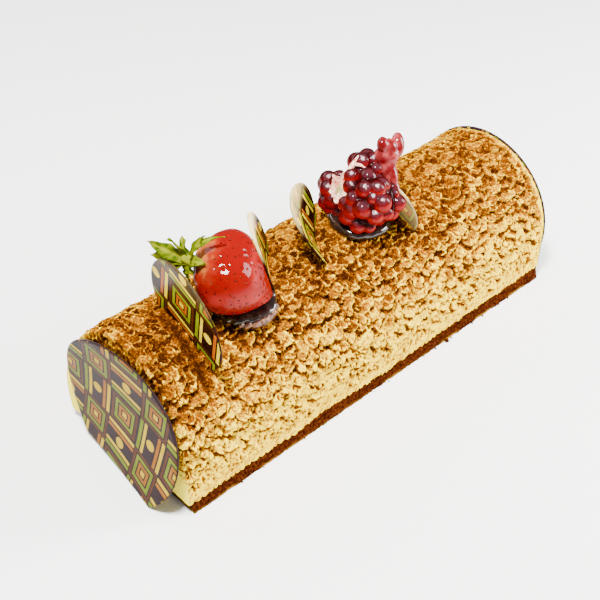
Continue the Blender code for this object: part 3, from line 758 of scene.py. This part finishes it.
def build_cream(textured, smooth):
    """The coat in four pieces, fine at the front and coarse behind, and its two end walls."""
    xs = np.linspace(-HALF_LENGTH, HALF_LENGTH, 640)
    fine = np.linspace(0.0, PERIMETER, 486)
    front = np.linspace(0.0, BACK_BEGINS, 300)
    ss = np.concatenate([front, np.linspace(BACK_BEGINS, PERIMETER, 70)[1:]])
    X, S = np.meshgrid(xs, ss, indexing="ij")
    height, cocoa_and_painted_light = (along_s(field, fine, ss) for field in cream_fields(xs, fine))

    # Relief fades at both ends and at the foot; the cream bulges up to the far disc
    to_near = X + HALF_LENGTH
    to_far = HALF_LENGTH - X
    border = smooth_step(-2.5, 0.5, to_near) * smooth_step(1.0, 4.0, to_far)
    y, z, ny, nz = profile(S)
    uneven = lattice_noise(X, S * 0, 6.0, 7)
    lobes = np.sqrt(np.abs(np.sin(math.pi * (X + 1.9 * uneven) / 3.5)))
    edge = sponge_height(X) + 1.3 + 0.5 * uneven - 1.9 * lobes + 1.1 * lattice_noise(X, S * 0, 17.0, 8)
    foot = np.clip(0.3 + (z - edge) / 5.0, 0.3, 1.0)
    push = (height - 0.3) * border * foot + 0.8 * broad_swell(xs, ss, y[0], z[0])
    reach = np.maximum(0.0, 1.0 - to_far / 11.0)
    push += 0.9 * np.clip((z - SHOULDER) / HALF_WIDTH + 0.1, 0, 1) * reach ** 1.5
    push -= 0.6 * np.maximum(0.0, 1 - to_near / 1.2) ** 2 + 1.2 * np.maximum(0.0, 1 - to_far / 1.4) ** 2
    cocoa_and_painted_light = cocoa_and_painted_light * (0.25 + 0.75 * smooth_step(0.8, 4.5, to_far))

    # The coat ends in an uneven edge over the sponge and turns in under itself
    eased = 12.0
    z = np.where(z < eased, edge + (eased - edge) * np.clip(z / eased, 0, 1), z)
    near = np.maximum(0.0, 1.0 - to_near / 20.3)
    shifted = X + near_end_shift(y, z) * near
    points = tucked_under(np.stack([shifted, y + ny * push, z + nz * push], -1))
    plain = tucked_under(np.stack([shifted, y, z], -1))
    cocoa_and_painted_light, height = (np.pad(field, ((0, 0), (1, 1)), mode="edge") for field in (cocoa_and_painted_light, height))
    normals = grid_normals(points)

    third = len(xs) // 3
    seam = len(front)
    for name, rows, columns in (
            ("cream_front_near", slice(0, third + 1), slice(0, seam + 1)),
            ("cream_front_middle", slice(third, 2 * third + 1), slice(0, seam + 1)),
            ("cream_front_far", slice(2 * third, len(xs)), slice(0, seam + 1)),
            ("cream_back", slice(0, len(xs)), slice(seam, points.shape[1]))):
        part = points[rows, columns]
        faces = [face[::-1] for face in grid_faces(*part.shape[:2])]
        item = mesh_piece(name, part.reshape(-1, 3), faces, textured,
                          normals=normals[rows, columns].reshape(-1, 3))
        add_values(item, "cocoa_and_painted_light", cocoa_and_painted_light[rows, columns])
        settle(item, "cream", "cream_log")
    build_cream_ends(points, plain, height, cocoa_and_painted_light, smooth)


def tucked_under(points):
    """The grid with one more column at each foot, which turns in under the coat."""
    front = points[:, :1] * (1, 0, 1) + (0, -COAT_TUCK, 0)
    back = points[:, -1:] * (1, 0, 1) + (0, COAT_TUCK, 0)
    return np.concatenate([front, points, back], axis=1)


def build_cream_ends(points, plain, height, cocoa_and_painted_light, material):
    """The coat's two end walls, in rings that shrink from its edge to the middle of the foot.

    The coat's relief and cocoa run on over the near wall's rim, mirrored at its edge.
    """
    depths = (0.0, 0.45, 0.9, 1.4, 1.9, 2.5, 3.1, 3.8, 4.6, 5.5, 6.6, 8.0, 10.0, 14.0, 22.0, 34.0, 48.0)
    reach_to_foot = 60.0
    last_row = len(points) - 1
    row_step = 2 * HALF_LENGTH / last_row
    columns = points.shape[1]
    rings = []
    tones = []
    faces = []
    for end, out in ((0, -1), (last_row, 1)):
        outline = plain[end]
        hub = np.array([0.0, 0.0, outline[[0, -1], 2].mean()])
        first = len(rings) * columns
        for depth in depths:
            ring = outline + (hub - outline) * depth / reach_to_foot
            y, z = ring[:, 1], ring[:, 2]
            wall = -HALF_LENGTH + near_end_shift(y, z) if out < 0 else HALF_LENGTH
            row = end - out * min(round(depth / row_step), 30)
            coated = np.where(y < 0, smooth_step(14.0, 26.0, z), smooth_step(38.0, 58.0, z))
            fade = (1 - smooth_step(5.0, 10.0, depth)) * (out < 0) * coated
            ring[:, 0] = wall + out * (np.clip(0.8 * height[row], -1.0, 1.0) * fade + 0.15)
            rings.append(points[end] if depth == 0.0 else ring)
            tones.append(cocoa_and_painted_light[row] * fade - 0.06 * (1 - fade))
        faces += grid_faces(len(depths), columns, first=first)
        last = first + (len(depths) - 1) * columns
        faces.append(tuple(range(last, last + columns)))
    item = mesh_piece("cream_ends", np.concatenate(rings), faces, material)
    add_values(item, "cocoa_and_painted_light", np.concatenate(tones))
    settle(item, "cream", "cream_log")


def build_sponge(material):
    """The sponge's front, top and back in one strip, its crumb broken, its foot flared, with a thin paler
    band.
    """
    xs = np.linspace(-SPONGE_HALF_LENGTH, SPONGE_HALF_LENGTH, 470)
    heights = np.linspace(0.0, 1.0, 9)
    hidden_height, hidden_y, pale_band_top, chamfer = 1.2, 42.2, 0.15, 0.12
    outline = [(-1, h) for h in heights] + [(-1, hidden_height), (1, hidden_height)]
    outline += [(1, h) for h in heights[::-1]]
    points = []
    pale_foot_band = []
    for x in xs:
        tall = float(sponge_height(x)) + 0.6 * noise_at(x / 9, 4.0, 0.0)
        for side, h in outline:
            crumb = noise_at(x / 1.4, side * 9.0, h * 4.0)
            coarse = noise_at(x / 5.0, side * 4.0, h * 1.5 + 8.0)
            flare = SPONGE_FLARE * (1.0 - min(h, 1.0)) ** 1.3
            y = SPONGE_HALF_WIDTH + flare + 0.4 * crumb + 0.45 * coarse
            if h > 1.0:
                y = hidden_y
            y -= 0.5 * max(0.0, chamfer - h) / chamfer
            points.append((x, side * y, max(0.0, tall * h)))
            patch = noise_at(x / 14.0, side * 2.0, 3.0) + 0.1
            pale_foot_band.append(max(0.0, min(1.0, 3 * patch)) if h < pale_band_top else 0.0)
    faces = capped_tube(len(xs), len(outline))
    item = mesh_piece("sponge_strip", points, faces, material)
    add_values(item, "pale_foot_band", pale_foot_band)
    settle(item, "sponge", "sponge_base")


# Printed discs


def disc_pose(lean, turn):
    return Matrix.Rotation(math.radians(turn), 3, "Z") @ Matrix.Rotation(math.radians(lean), 3, "Y")


def build_disc(node, material, radius, centre, lean, turn, bend, bend_angle, cut=None, roll=0.0,
               cell=20.0, print_turn=0.0, print_shift=(0.0, 0.0), painted_sheen_and_bloom=(0.0, 0.0)):
    """A thin round plate with a soft bare rim, bent, leaned and turned as its CAD node is.

    cut is how far below the middle a flat foot is cut, cell the size of the print's squares, and the
    last argument how much pale colour lies over the print: painted sheen towards the top, and pale bloom all
    over.
    """
    pose = np.array(disc_pose(lean, turn))
    columns, rings, half = 168, 30, DISC_HALF
    angles = np.linspace(0, 2 * math.pi, columns, endpoint=False)
    reach = np.full(columns, radius)
    if cut is not None:
        below = np.sin(angles) < -cut / radius
        reach[below] = cut / np.abs(np.sin(angles[below]))
    bevelled = 1 - DISC_BEVEL / radius
    layers = [(k / rings, -half, 0) for k in range(1, rings)]
    layers += [(bevelled, -half, 0), (1.0, -half * 0.6, 1), (1.0, half * 0.6, 1), (bevelled, half, 0)]
    layers += [(k / rings, half, 0) for k in range(rings - 1, 0, -1)]
    points = []
    prints = []
    painted_sheen_and_blooms = []

    def add_ring(u, v, offset, bare=0):
        across, up = spun(u, v, print_turn)
        prints.append(np.stack([across / cell + print_shift[0], up / cell + print_shift[1],
                                np.full_like(u, bare)], -1))
        # Painted sheen rising towards the top, and pale bloom all over
        painted_sheen_and_blooms.append(painted_sheen_and_bloom[0] * smooth_step(0.35, 0.85, v / radius) + painted_sheen_and_bloom[1])
        u, v = spun(u, v, roll)
        along = spun(u, v, -bend_angle)[0]
        depth = 0.5 * bend * along ** 2 + offset
        points.append(np.stack([-depth, -u, v], -1) @ pose.T + np.array(centre))

    for share, offset, bare in layers:
        add_ring(share * reach * np.cos(angles), share * reach * np.sin(angles), offset, bare)
    faces = grid_faces(len(layers), columns, closed=True)
    count = len(layers) * columns
    for hub, first, offset in ((count, 0, -half), (count + 1, count - columns, half)):
        add_ring(np.zeros(1), np.zeros(1), offset)
        faces += fan(hub, first, columns)
    item = mesh_piece(node + "_printed", np.concatenate(points), faces, material)
    add_values(item, "print", np.concatenate(prints), "FLOAT_VECTOR", "vector")
    add_values(item, "painted_sheen_and_bloom", np.concatenate(painted_sheen_and_blooms))
    settle(item, "printed_chocolate", node)


def build_discs(painted_haze_print, vivid):
    # The end discs take the print under a painted grey reflection haze
    build_disc("end_disc_near", painted_haze_print, 41.6, (-127.3, -1.7, 31.75), 5.0, -0.7, 0.0068, -62.9,
               cut=30.7, roll=-3.2, print_turn=8.0, print_shift=(0.45, 0.3))
    build_disc("end_disc_far", painted_haze_print, 43.8, (126.3, 0.8, 29.2), 0.0, 0.0, 0.0, 0.0, cut=28.6)
    build_disc("topping_disc_a", vivid, 27.0, (-95.9, -12.9, 82.6), -5.4, -6.1, 0.0008, 40.0,
               print_turn=18.0, print_shift=(0.65, 0.25), painted_sheen_and_bloom=(0.05, 0.0))
    build_disc("topping_disc_b", vivid, 19.6, DISC_B_CENTRE, DISC_B_LEAN, DISC_B_TURN, DISC_B_BEND,
               DISC_B_BEND_ANGLE, cell=16.0, print_turn=5.0, print_shift=(0.5, 0.4), painted_sheen_and_bloom=(0.9, 0.0))
    build_disc("topping_disc_c", vivid, 20.6, (-12.2, 0.1, 80.9), -22.9, -42.1, -0.0193, -26.9,
               cell=16.0, print_turn=20.0, print_shift=(0.1, 0.6), painted_sheen_and_bloom=(0.5, 0.0))
    build_disc("topping_disc_d", vivid, 17.6, (36.5, -10.0, 75.6), -16.3, -1.3, -0.0004, 44.8,
               cell=16.0, print_turn=30.0, painted_sheen_and_bloom=(0.30, 0.22))


# Strawberry


def berry_share(t, turn):
    """Radius share of the strawberry at height share t, 0 at its tip and 1 at the leaves."""
    body = math.sin(math.pi * (t * 0.96 + 0.02)) ** 0.55
    taper = 0.62 + 0.42 * min(1.0, t / 0.7)
    return body * taper * (1.0 + 0.16 * math.cos(2 * (turn + 0.37)))


def berry_point(t, turn, grow=0.0):
    """A point on the strawberry's skin, flattened where the second disc stands against it."""
    reach = BERRY_RADIUS * berry_share(t, turn) + grow
    local = Vector((reach * math.cos(turn), reach * math.sin(turn), (t - 0.5) * (BERRY_LENGTH + 2 * grow)))
    point = BERRY_CENTRE + turned_frame(BERRY_AXIS) @ local
    pose = disc_pose(DISC_B_LEAN, DISC_B_TURN)
    local = pose.transposed() @ (point - Vector(DISC_B_CENTRE))
    along = spun(-local.y, local.z, -DISC_B_BEND_ANGLE)[0]
    beyond = local.x + 0.5 * DISC_B_BEND * along * along + DISC_B_GAP
    if beyond > 0:
        point = point - pose @ Vector((beyond, 0.0, 0.0))
    return point


def painted_glaze_reflection(point):
    """0 to 1 where a reflection of the floor in the glaze is painted on the strawberry: a band low down and
    one up its right side.
    """
    away = (point - BERRY_CENTRE).normalized()
    low = -away.dot(UPWARD)
    right = away.dot(RIGHTWARD)
    ripple = 0.12 * noise.noise(point / 6.0)
    foot = math.exp(-((low - 0.62 + ripple) / 0.20) ** 2)
    side = math.exp(-((right - 0.62 + ripple) / 0.15) ** 2) * float(smooth_step(-0.75, -0.1, -low))
    return float(0.75 * max(foot, 0.8 * side))


def build_strawberry(skin, seed):
    rng = random.Random(4)
    seeds = []
    for i in range(SEEDS):
        t = 0.03 + 0.90 * (i + 0.5) / SEEDS
        turn = i * GOLDEN_ANGLE + rng.uniform(-0.12, 0.12)
        seeds.append(berry_point(t, turn))
    build_skin(seeds, skin)
    build_seeds(seeds, rng, seed)


def build_skin(seeds, material):
    """The strawberry's skin, with a dent round each seed."""
    rings, columns = 96, 144
    dents = np.array(seeds)
    points = []
    ripeness = []
    glaze = []
    for r in range(1, rings):
        t = 0.5 - 0.5 * math.cos(math.pi * r / rings)
        for turn in ring_turns(columns):
            grow = 0.35 * noise_at(t * 5, math.cos(turn) * 2, math.sin(turn) * 2)
            point = berry_point(t, turn, grow)
            gap = np.linalg.norm(dents - np.array(point), axis=1).min()
            inward = (BERRY_CENTRE - point).normalized() * 0.3 * math.exp(-(gap / 0.75) ** 2)
            points.append(point + inward)
            ripeness.append(1.0 - t)
            # Painted reflection band of the floor in the glaze
            glaze.append(painted_glaze_reflection(point))
    faces = grid_faces(rings - 1, columns, closed=True)
    for height, first in ((-0.5, 0), (0.48, (rings - 2) * columns)):
        faces += fan(len(points), first, columns)
        points.append(BERRY_CENTRE + turned_frame(BERRY_AXIS) @ Vector((0.0, 0.0, height * BERRY_LENGTH)))
        ripeness.append(0.5 - height)
        glaze.append(0.0)
    item = mesh_piece("strawberry_skin", points, faces, material)
    add_values(item, "ripeness", ripeness)
    add_values(item, "glaze", glaze)
    settle(item, "strawberry", "strawberry")


def build_seeds(seeds, rng, material):
    ball_points, ball_faces = unit_ball()
    wide, long, thick = SEED_SIZE
    points = []
    faces = []
    for seed in seeds:
        outward = (seed - BERRY_CENTRE).normalized()
        lengthwise = (BERRY_AXIS - outward * BERRY_AXIS.dot(outward)).normalized()
        across = outward.cross(lengthwise)
        size = rng.uniform(0.85, 1.1)
        middle = seed - outward * 0.16
        faces += renumbered(ball_faces, len(points))
        for p in ball_points:
            points.append(middle + across * p.x * wide * size + lengthwise * p.y * long * size
                          + outward * p.z * thick)
    settle(mesh_piece("strawberry_seeds", points, faces, material), "strawberry")


def leaf_edge(rows, columns):
    """The numbers of the outer points of a grid, in order round it."""
    edge = [i * columns for i in range(rows)]
    edge += [(rows - 1) * columns + j for j in range(1, columns)]
    edge += [i * columns + columns - 1 for i in range(rows - 2, -1, -1)]
    return edge + list(range(columns - 2, 0, -1))


def build_sepals(material):
    """Wavy pointed leaves with raised midribs, round the stub of the stalk."""
    heart = BERRY_CENTRE + CALYX * CALYX_REACH
    points = []
    vein = []
    faces = []
    rows, columns = 23, 11
    layer = rows * columns
    edge = leaf_edge(rows, columns)
    for number, (tip, width, arch) in enumerate(SEPALS):
        chord = Vector(tip) - heart
        along = chord.normalized()
        outward = (CALYX - along * CALYX.dot(along)).normalized()
        across = along.cross(outward).normalized()
        first = len(points)
        for side in (-0.5, 0.5):
            for i in range(rows):
                t = i / (rows - 1)
                spread = width * (0.6 + 0.4 * math.sin(math.pi * t)) * (1.0 - t ** 3) + 0.25
                notch = 1.0 + 0.10 * math.sin(17 * t + number)
                middle = heart + chord * t + outward * (arch * 4 * t * (1 - t))
                for j in range(columns):
                    k = 2 * j / (columns - 1) - 1
                    curl = abs(k) ** 1.5 * width * 0.22 * (1 - t)
                    wave = 0.10 * width * k * math.sin(9 * t + number)
                    ripple = 0.35 * math.sin(14 * t + 3 * k + number) * abs(k)
                    groove = -0.25 * math.exp(-(k / 0.14) ** 2) * (1 - t)
                    thick = side * 0.6 * (1.0 - 0.55 * abs(k) ** 3)
                    lift = curl + wave + ripple + groove + thick
                    points.append(middle + across * (k * notch * spread / 2) + outward * lift)
                    rib = math.exp(-(k / 0.16) ** 2)
                    branch = 0.35 * max(0.0, math.sin(26 * t - 5 * abs(k))) ** 4
                    vein.append(min(1.0, 0.7 * rib + branch * 0.6 + 0.35 * max(0.0, 0.25 - t) / 0.25))
        faces += grid_faces(rows, columns, first=first)
        faces += [face[::-1] for face in grid_faces(rows, columns, first=first + layer)]
        for a, b in zip(edge, edge[1:] + edge[:1]):
            faces.append((first + a, first + b, first + layer + b, first + layer + a))

    # The stub, five-ribbed and rounded off at its end
    rings, columns = 13, 24
    faces += capped_tube(rings, columns, len(points))
    for r in range(rings):
        t = r / (rings - 1)
        reach = STUB_RADIUS * math.cos(t * math.pi / 2) ** 0.5 + 0.05
        for turn in ring_turns(columns):
            ribbed = reach * (1 + 0.08 * math.cos(5 * turn))
            local = Vector((ribbed * math.cos(turn), ribbed * math.sin(turn), -1.5 + STUB_LENGTH * t))
            points.append(heart + turned_frame(CALYX) @ local)
            vein.append(0.55)
    item = mesh_piece("sepals", points, faces, material)
    add_values(item, "vein", vein)
    settle(item, "leaf", "strawberry_leaves")


# Plates under the fruit


def build_plinth(node, material, x, y, radius, crinkle):
    """A poured chocolate plate lying on the slope of the log's top."""
    slope = math.asin(y / HALF_WIDTH)
    normal = Vector((0.0, math.sin(slope), math.cos(slope)))
    centre = Vector((x, y, SHOULDER + HALF_WIDTH * math.cos(slope))) + normal * 0.6
    pose = Matrix.Rotation(-slope, 3, "X")
    columns = 132
    levels = [(-0.15, 0.90), (0.0, 0.93), (0.08, 0.965), (0.18, 0.985), (0.3, 0.998), (0.45, 1.0),
              (0.6, 0.995), (0.75, 0.98), (0.88, 0.955), (0.97, 0.92), (1.0, 0.88), (0.99, 0.8)]
    levels += [(0.97, share) for share in (0.7, 0.55, 0.4, 0.25, 0.1)]
    points = []
    for height, share in levels:
        for turn in ring_turns(columns):
            wave = 1.0 + 0.03 * math.cos(2 * turn + 1.0) + 0.02 * math.cos(5 * turn)
            reach = radius * share * wave
            spot = Vector((reach * math.cos(turn) / 3.0, reach * math.sin(turn) / 3.0, height * 2))
            rough = crinkle * (noise.noise(spot) + 0.5 * noise.noise(spot * 2.3))
            reach += rough * share
            local = Vector((reach * math.cos(turn), reach * math.sin(turn),
                            height * PLINTH_THICKNESS + 0.6 * rough))
            points.append(centre + pose @ local)
    faces = capped_tube(len(levels), columns)
    settle(mesh_piece(node + "_poured", points, faces, material), "dark_chocolate", node)


def build_glaze_pool(material):
    """Glaze that ran off the strawberry and set in crinkles over its plinth's front rim."""
    blobs = [(Vector(middle), (size, size * 0.75, size * 1.15), GLAZE_SLOPE) for middle, size in GLAZE_SPOTS]
    settle(fuse("glaze_pool", blobs, material, 3)[0], "dark_chocolate")


# Raspberries


def scattered_drupelets(centre, core, axis, count, seed):
    """Centre and radius of each drupelet, spread over a ball but for its stalk end."""
    rng = random.Random(seed)
    axes = turned_frame(axis)
    lowest = math.cos(math.radians(155))
    balls = []
    for i in range(count):
        height = 1.0 - (1.0 - lowest) * (i + 0.5) / count
        ring = math.sqrt(1.0 - height * height)
        local = Vector((ring * math.cos(i * GOLDEN_ANGLE), ring * math.sin(i * GOLDEN_ANGLE), height))
        balls.append((centre + axes @ local * core, DRUPELET * rng.uniform(0.86, 1.1)))
    return balls


def fuse(name, blobs, material, smoothing):
    """Balls and ellipsoids grown together into one skin: the piece, and its points in millimetres."""
    shape = bmesh.new()
    for centre, radii, axis in blobs:
        axes = turned_frame(axis)
        for vertex in bmesh.ops.create_icosphere(shape, subdivisions=4, radius=1.0)["verts"]:
            vertex.co = centre + axes @ Vector([vertex.co[k] * radii[k] for k in range(3)])
    mesh = bpy.data.meshes.new(name)
    shape.to_mesh(mesh)
    shape.free()
    item = add_object(name, mesh)
    remesh = item.modifiers.new("fuse", "REMESH")
    remesh.mode = "VOXEL"
    remesh.voxel_size = VOXEL
    soften = item.modifiers.new("soften", "SMOOTH")
    soften.factor = 0.5
    soften.iterations = smoothing
    graph = bpy.context.evaluated_depsgraph_get()
    done = bpy.data.meshes.new_from_object(item.evaluated_get(graph))
    points = np.empty(len(done.vertices) * 3)
    done.vertices.foreach_get("co", points)
    points = points.reshape(-1, 3)
    faces = [tuple(p.vertices) for p in done.polygons]
    bpy.data.objects.remove(item)
    return mesh_piece(name, points, faces, material), points


def painted_drupelet_light(points, balls, centre, core):
    """Painted light on the drupelets: shade between them and glow low on each, a painted grey reflection at
    their tops, and where a painted white highlight lies.
    """
    centres = np.array([tuple(middle) for middle, _ in balls])
    sizes = np.array([size for _, size in balls])
    gaps = np.linalg.norm(points[:, None, :] - centres[None], axis=2) / sizes[None]
    nearest = np.argmin(gaps, axis=1)
    outward = points - centres[nearest]
    outward /= np.linalg.norm(outward, axis=1)[:, None]
    out_of_core = np.linalg.norm(points - np.array(tuple(centre)), axis=1) - core
    crease = smooth_step(0.0, 2.6, out_of_core)
    # Painted glow, brightest low on each drupelet, and painted shade in the creases
    low = smooth_step(0.8, -0.3, outward @ np.array([0.0, 0.15, 0.98]))
    upper = outward @ np.array([-0.36, -0.42, 0.83])
    painted_grey_reflection = smooth_step(0.70, 0.96, upper) * crease
    patchy = np.array([noise.noise(Vector(point) / 1.1) for point in points])
    # Painted white highlights on the tops of some drupelets
    glint = smooth_step(0.962, 0.988, upper + 0.05 * patchy) * (nearest % 5 < 2)
    return 0.05 + 0.32 * crease + 0.68 * low * crease, 0.34 * painted_grey_reflection, 0.8 * glint


def build_raspberries(skin, jelly, flesh):
    for node, (centre, core, axis, count, seed, placed) in BERRIES.items():
        centre = Vector(centre)
        placed = [(Vector(middle), size) for middle, size in placed]
        balls = [ball for ball in scattered_drupelets(centre, core, Vector(axis), count, seed)
                 if all((ball[0] - middle).length > DRUPELET_GAP for middle, _ in placed)] + placed
        blobs = [(middle, (size, size, size), Vector((0.3, 0.1, 1.0)))
                 for middle, size in balls + [(centre, core * 1.06)]]
        item, points = fuse(node + "_drupelets", blobs, skin, 3)
        for name, values in zip(("painted_drupelet_light", "painted_grey_reflection", "shine"), painted_drupelet_light(points, balls, centre, core)):
            add_values(item, name, values)
        settle(item, "raspberry", node)
    run = [(Vector(middle), radii, UPWARD) for middle, radii in JELLY]
    settle(fuse("jelly_run", run, jelly, 4)[0], "raspberry")
    build_flesh(flesh)
    for name, (path, radii) in THREADS.items():
        build_thread(name, path, radii, flesh)


def build_flesh(material):
    """The torn berry's flesh: a ragged cupped sheet with the hollow of its core."""
    per_edge, rings, half = 6, 9, 0.4
    outline = []
    for (a, b), (c, d) in zip(FLESH_OUTLINE, FLESH_OUTLINE[1:] + FLESH_OUTLINE[:1]):
        for k in range(per_edge):
            t = k / per_edge
            u, v = a + (c - a) * t, b + (d - b) * t
            ragged = 1 + 0.10 * noise.noise(Vector((u, v, 0.0)) / 0.9)
            outline.append((u * ragged, v * ragged))
    points = []
    hollow = []
    shares = [r / rings for r in range(1, rings + 1)]
    for side, order in ((half, shares), (-half, shares[::-1])):
        for share in order:
            for a, b in outline:
                fold = 0.9 * noise.noise(Vector((a * share, b * share, 3.0)) / 2.6)
                out = -1.3 + 2.6 * share ** 2 + fold * share + side * (1.15 - share)
                points.append(FLESH_MIDDLE + RIGHTWARD * a * share + UPWARD * b * share + FORWARD * out)
                from_hollow = math.hypot(a * share / 2.3, (b * share + 0.8) / 3.6)
                hollow.append(float(smooth_step(1.05, 0.55, from_hollow)))
    item = mesh_piece("torn_flesh", points, capped_tube(2 * rings, len(outline)), material)
    add_values(item, "hollow", hollow)
    settle(item, "raspberry")


def build_thread(name, path, radii, material):
    """A thin tapering thread of flesh along a path of points."""
    columns, steps = 14, 8
    path = [Vector(p) for p in path]
    points = []
    for i in range(len(path) - 1):
        ahead = turned_frame(path[i + 1] - path[i])
        for k in range(steps + (i == len(path) - 2)):
            t = k / steps
            middle = path[i].lerp(path[i + 1], t)
            reach = radii[i] * (1 - t) + radii[i + 1] * t
            for c, turn in enumerate(ring_turns(columns)):
                rough = 1 + 0.35 * noise.noise(middle / 1.5 + Vector((c / 3.0, 0, 0)))
                spoke = Vector((math.cos(turn), 0.7 * math.sin(turn), 0))
                points.append(middle + ahead @ spoke * reach * rough)
    item = mesh_piece(name, points, capped_tube(len(points) // columns, columns), material)
    add_values(item, "hollow", np.zeros(len(points)))
    settle(item, "raspberry")


# Crumbs, ground, light and camera


def build_crumbs(material):
    """Crumbs of sponge fallen at the front foot of the cake: two large ones and a scatter."""
    rng = random.Random(9)
    points = []
    faces = []
    spots = [(46.5, -45.9, 1.2), (38.0, -45.6, 0.6)]
    for _ in range(12):
        spots.append((rng.uniform(-120, 122), -45.4 - rng.uniform(0, 0.5), rng.uniform(0.3, 0.6)))
    ball_points, ball_faces = unit_ball()
    for x, y, size in spots:
        faces += renumbered(ball_faces, len(points))
        for corner in ball_points:
            rough = 1 + 0.35 * noise.noise(corner * 1.7 + Vector((x, y, 0)))
            p = corner * size * rough
            points.append((x + p.x, y + p.y, max(0.02, size * 0.8 + p.z * 0.8)))
    item = mesh_piece("sponge_crumbs", points, faces, material)
    add_values(item, "pale_foot_band", np.zeros(len(points)))
    settle(item, "sponge")


def build_ground():
    material = set_shader(new_material("ground")[0], Base_Color=(0.93, 0.93, 0.92), Roughness=0.7,
                          Specular_IOR_Level=0.2)
    size = 4000.0
    points = [(-size, -size, 0), (size, -size, 0), (size, size, 0), (-size, size, 0)]
    floor = mesh_piece("floor", points, [(0, 1, 2, 3)], material, smooth=False)


def add_area(name, azimuth, elevation, distance, size, watts, colour=(1.0, 1.0, 1.0)):
    """A rectangular light that shines on the cake from a compass direction, 0 being along +X."""
    data = bpy.data.lights.new(name, "AREA")
    data.shape = "RECTANGLE"
    data.size, data.size_y = size[0] * MM, size[1] * MM
    data.energy = watts
    data.color = colour
    item = add_object(name, data)
    level = math.cos(math.radians(elevation))
    away = Vector((level * math.cos(math.radians(azimuth)), level * math.sin(math.radians(azimuth)),
                   math.sin(math.radians(elevation))))
    item.location = (Vector((0.0, 0.0, 50.0)) + away * distance) * MM
    item.rotation_euler = (-away).to_track_quat("-Z", "Y").to_euler()


def build_light():
    world = bpy.data.worlds.new("studio")
    world.use_nodes = True
    background = world.node_tree.nodes["Background"]
    background.inputs["Color"].default_value = (1.0, 1.0, 1.0, 1.0)
    background.inputs["Strength"].default_value = 0.5
    bpy.context.scene.world = world
    add_area("top", -155.0, 70.0, 900.0, (150, 150), 34.0, (1.0, 0.99, 0.97))
    add_area("right", -35.0, 24.0, 750.0, (300, 420), 21.0)
    add_area("back", 104.0, 43.0, 900.0, (700, 320), 8.0)


def build_camera():
    data = bpy.data.cameras.new("camera")
    data.sensor_width = 36.0
    data.lens = CAMERA_LENS
    data.clip_start = 0.01
    item = add_object("camera", data)
    x, y, z = CAMERA_PLACE
    item.location = (x + LOG_MIDDLE, y, z)
    item.rotation_euler = (math.radians(CAMERA_TILT), 0.0, math.radians(CAMERA_HEADING))
    bpy.context.scene.camera = item


def build():
    coat = cream_material("cream", (0.94, 0.66, 0.004))
    # The end walls take a paler, whiter copy of the cream: painted light against their shade
    build_cream(coat, cream_material("cream_end_paled_for_shade", (0.92, 0.76, 0.05)))
    sponge = sponge_material()
    build_sponge(sponge)
    build_crumbs(sponge)
    build_discs(printed_material("printed_under_painted_haze", PRINT_UNDER_PAINTED_HAZE), printed_material("printed_vivid", VIVID_PRINT))
    build_strawberry(strawberry_material(), seed_material())
    build_sepals(leaf_material())
    dark = dark_chocolate_material()
    build_plinth("plinth_strawberry", dark, -63.5, -10.5, 16.5, 0.7)
    build_plinth("plinth_raspberry", dark, 17.4, -6.3, 15.1, 0.3)
    build_glaze_pool(glaze_material())
    build_raspberries(raspberry_material(), jelly_material(), flesh_material())
    build_ground()
    build_light()
    build_camera()


build()
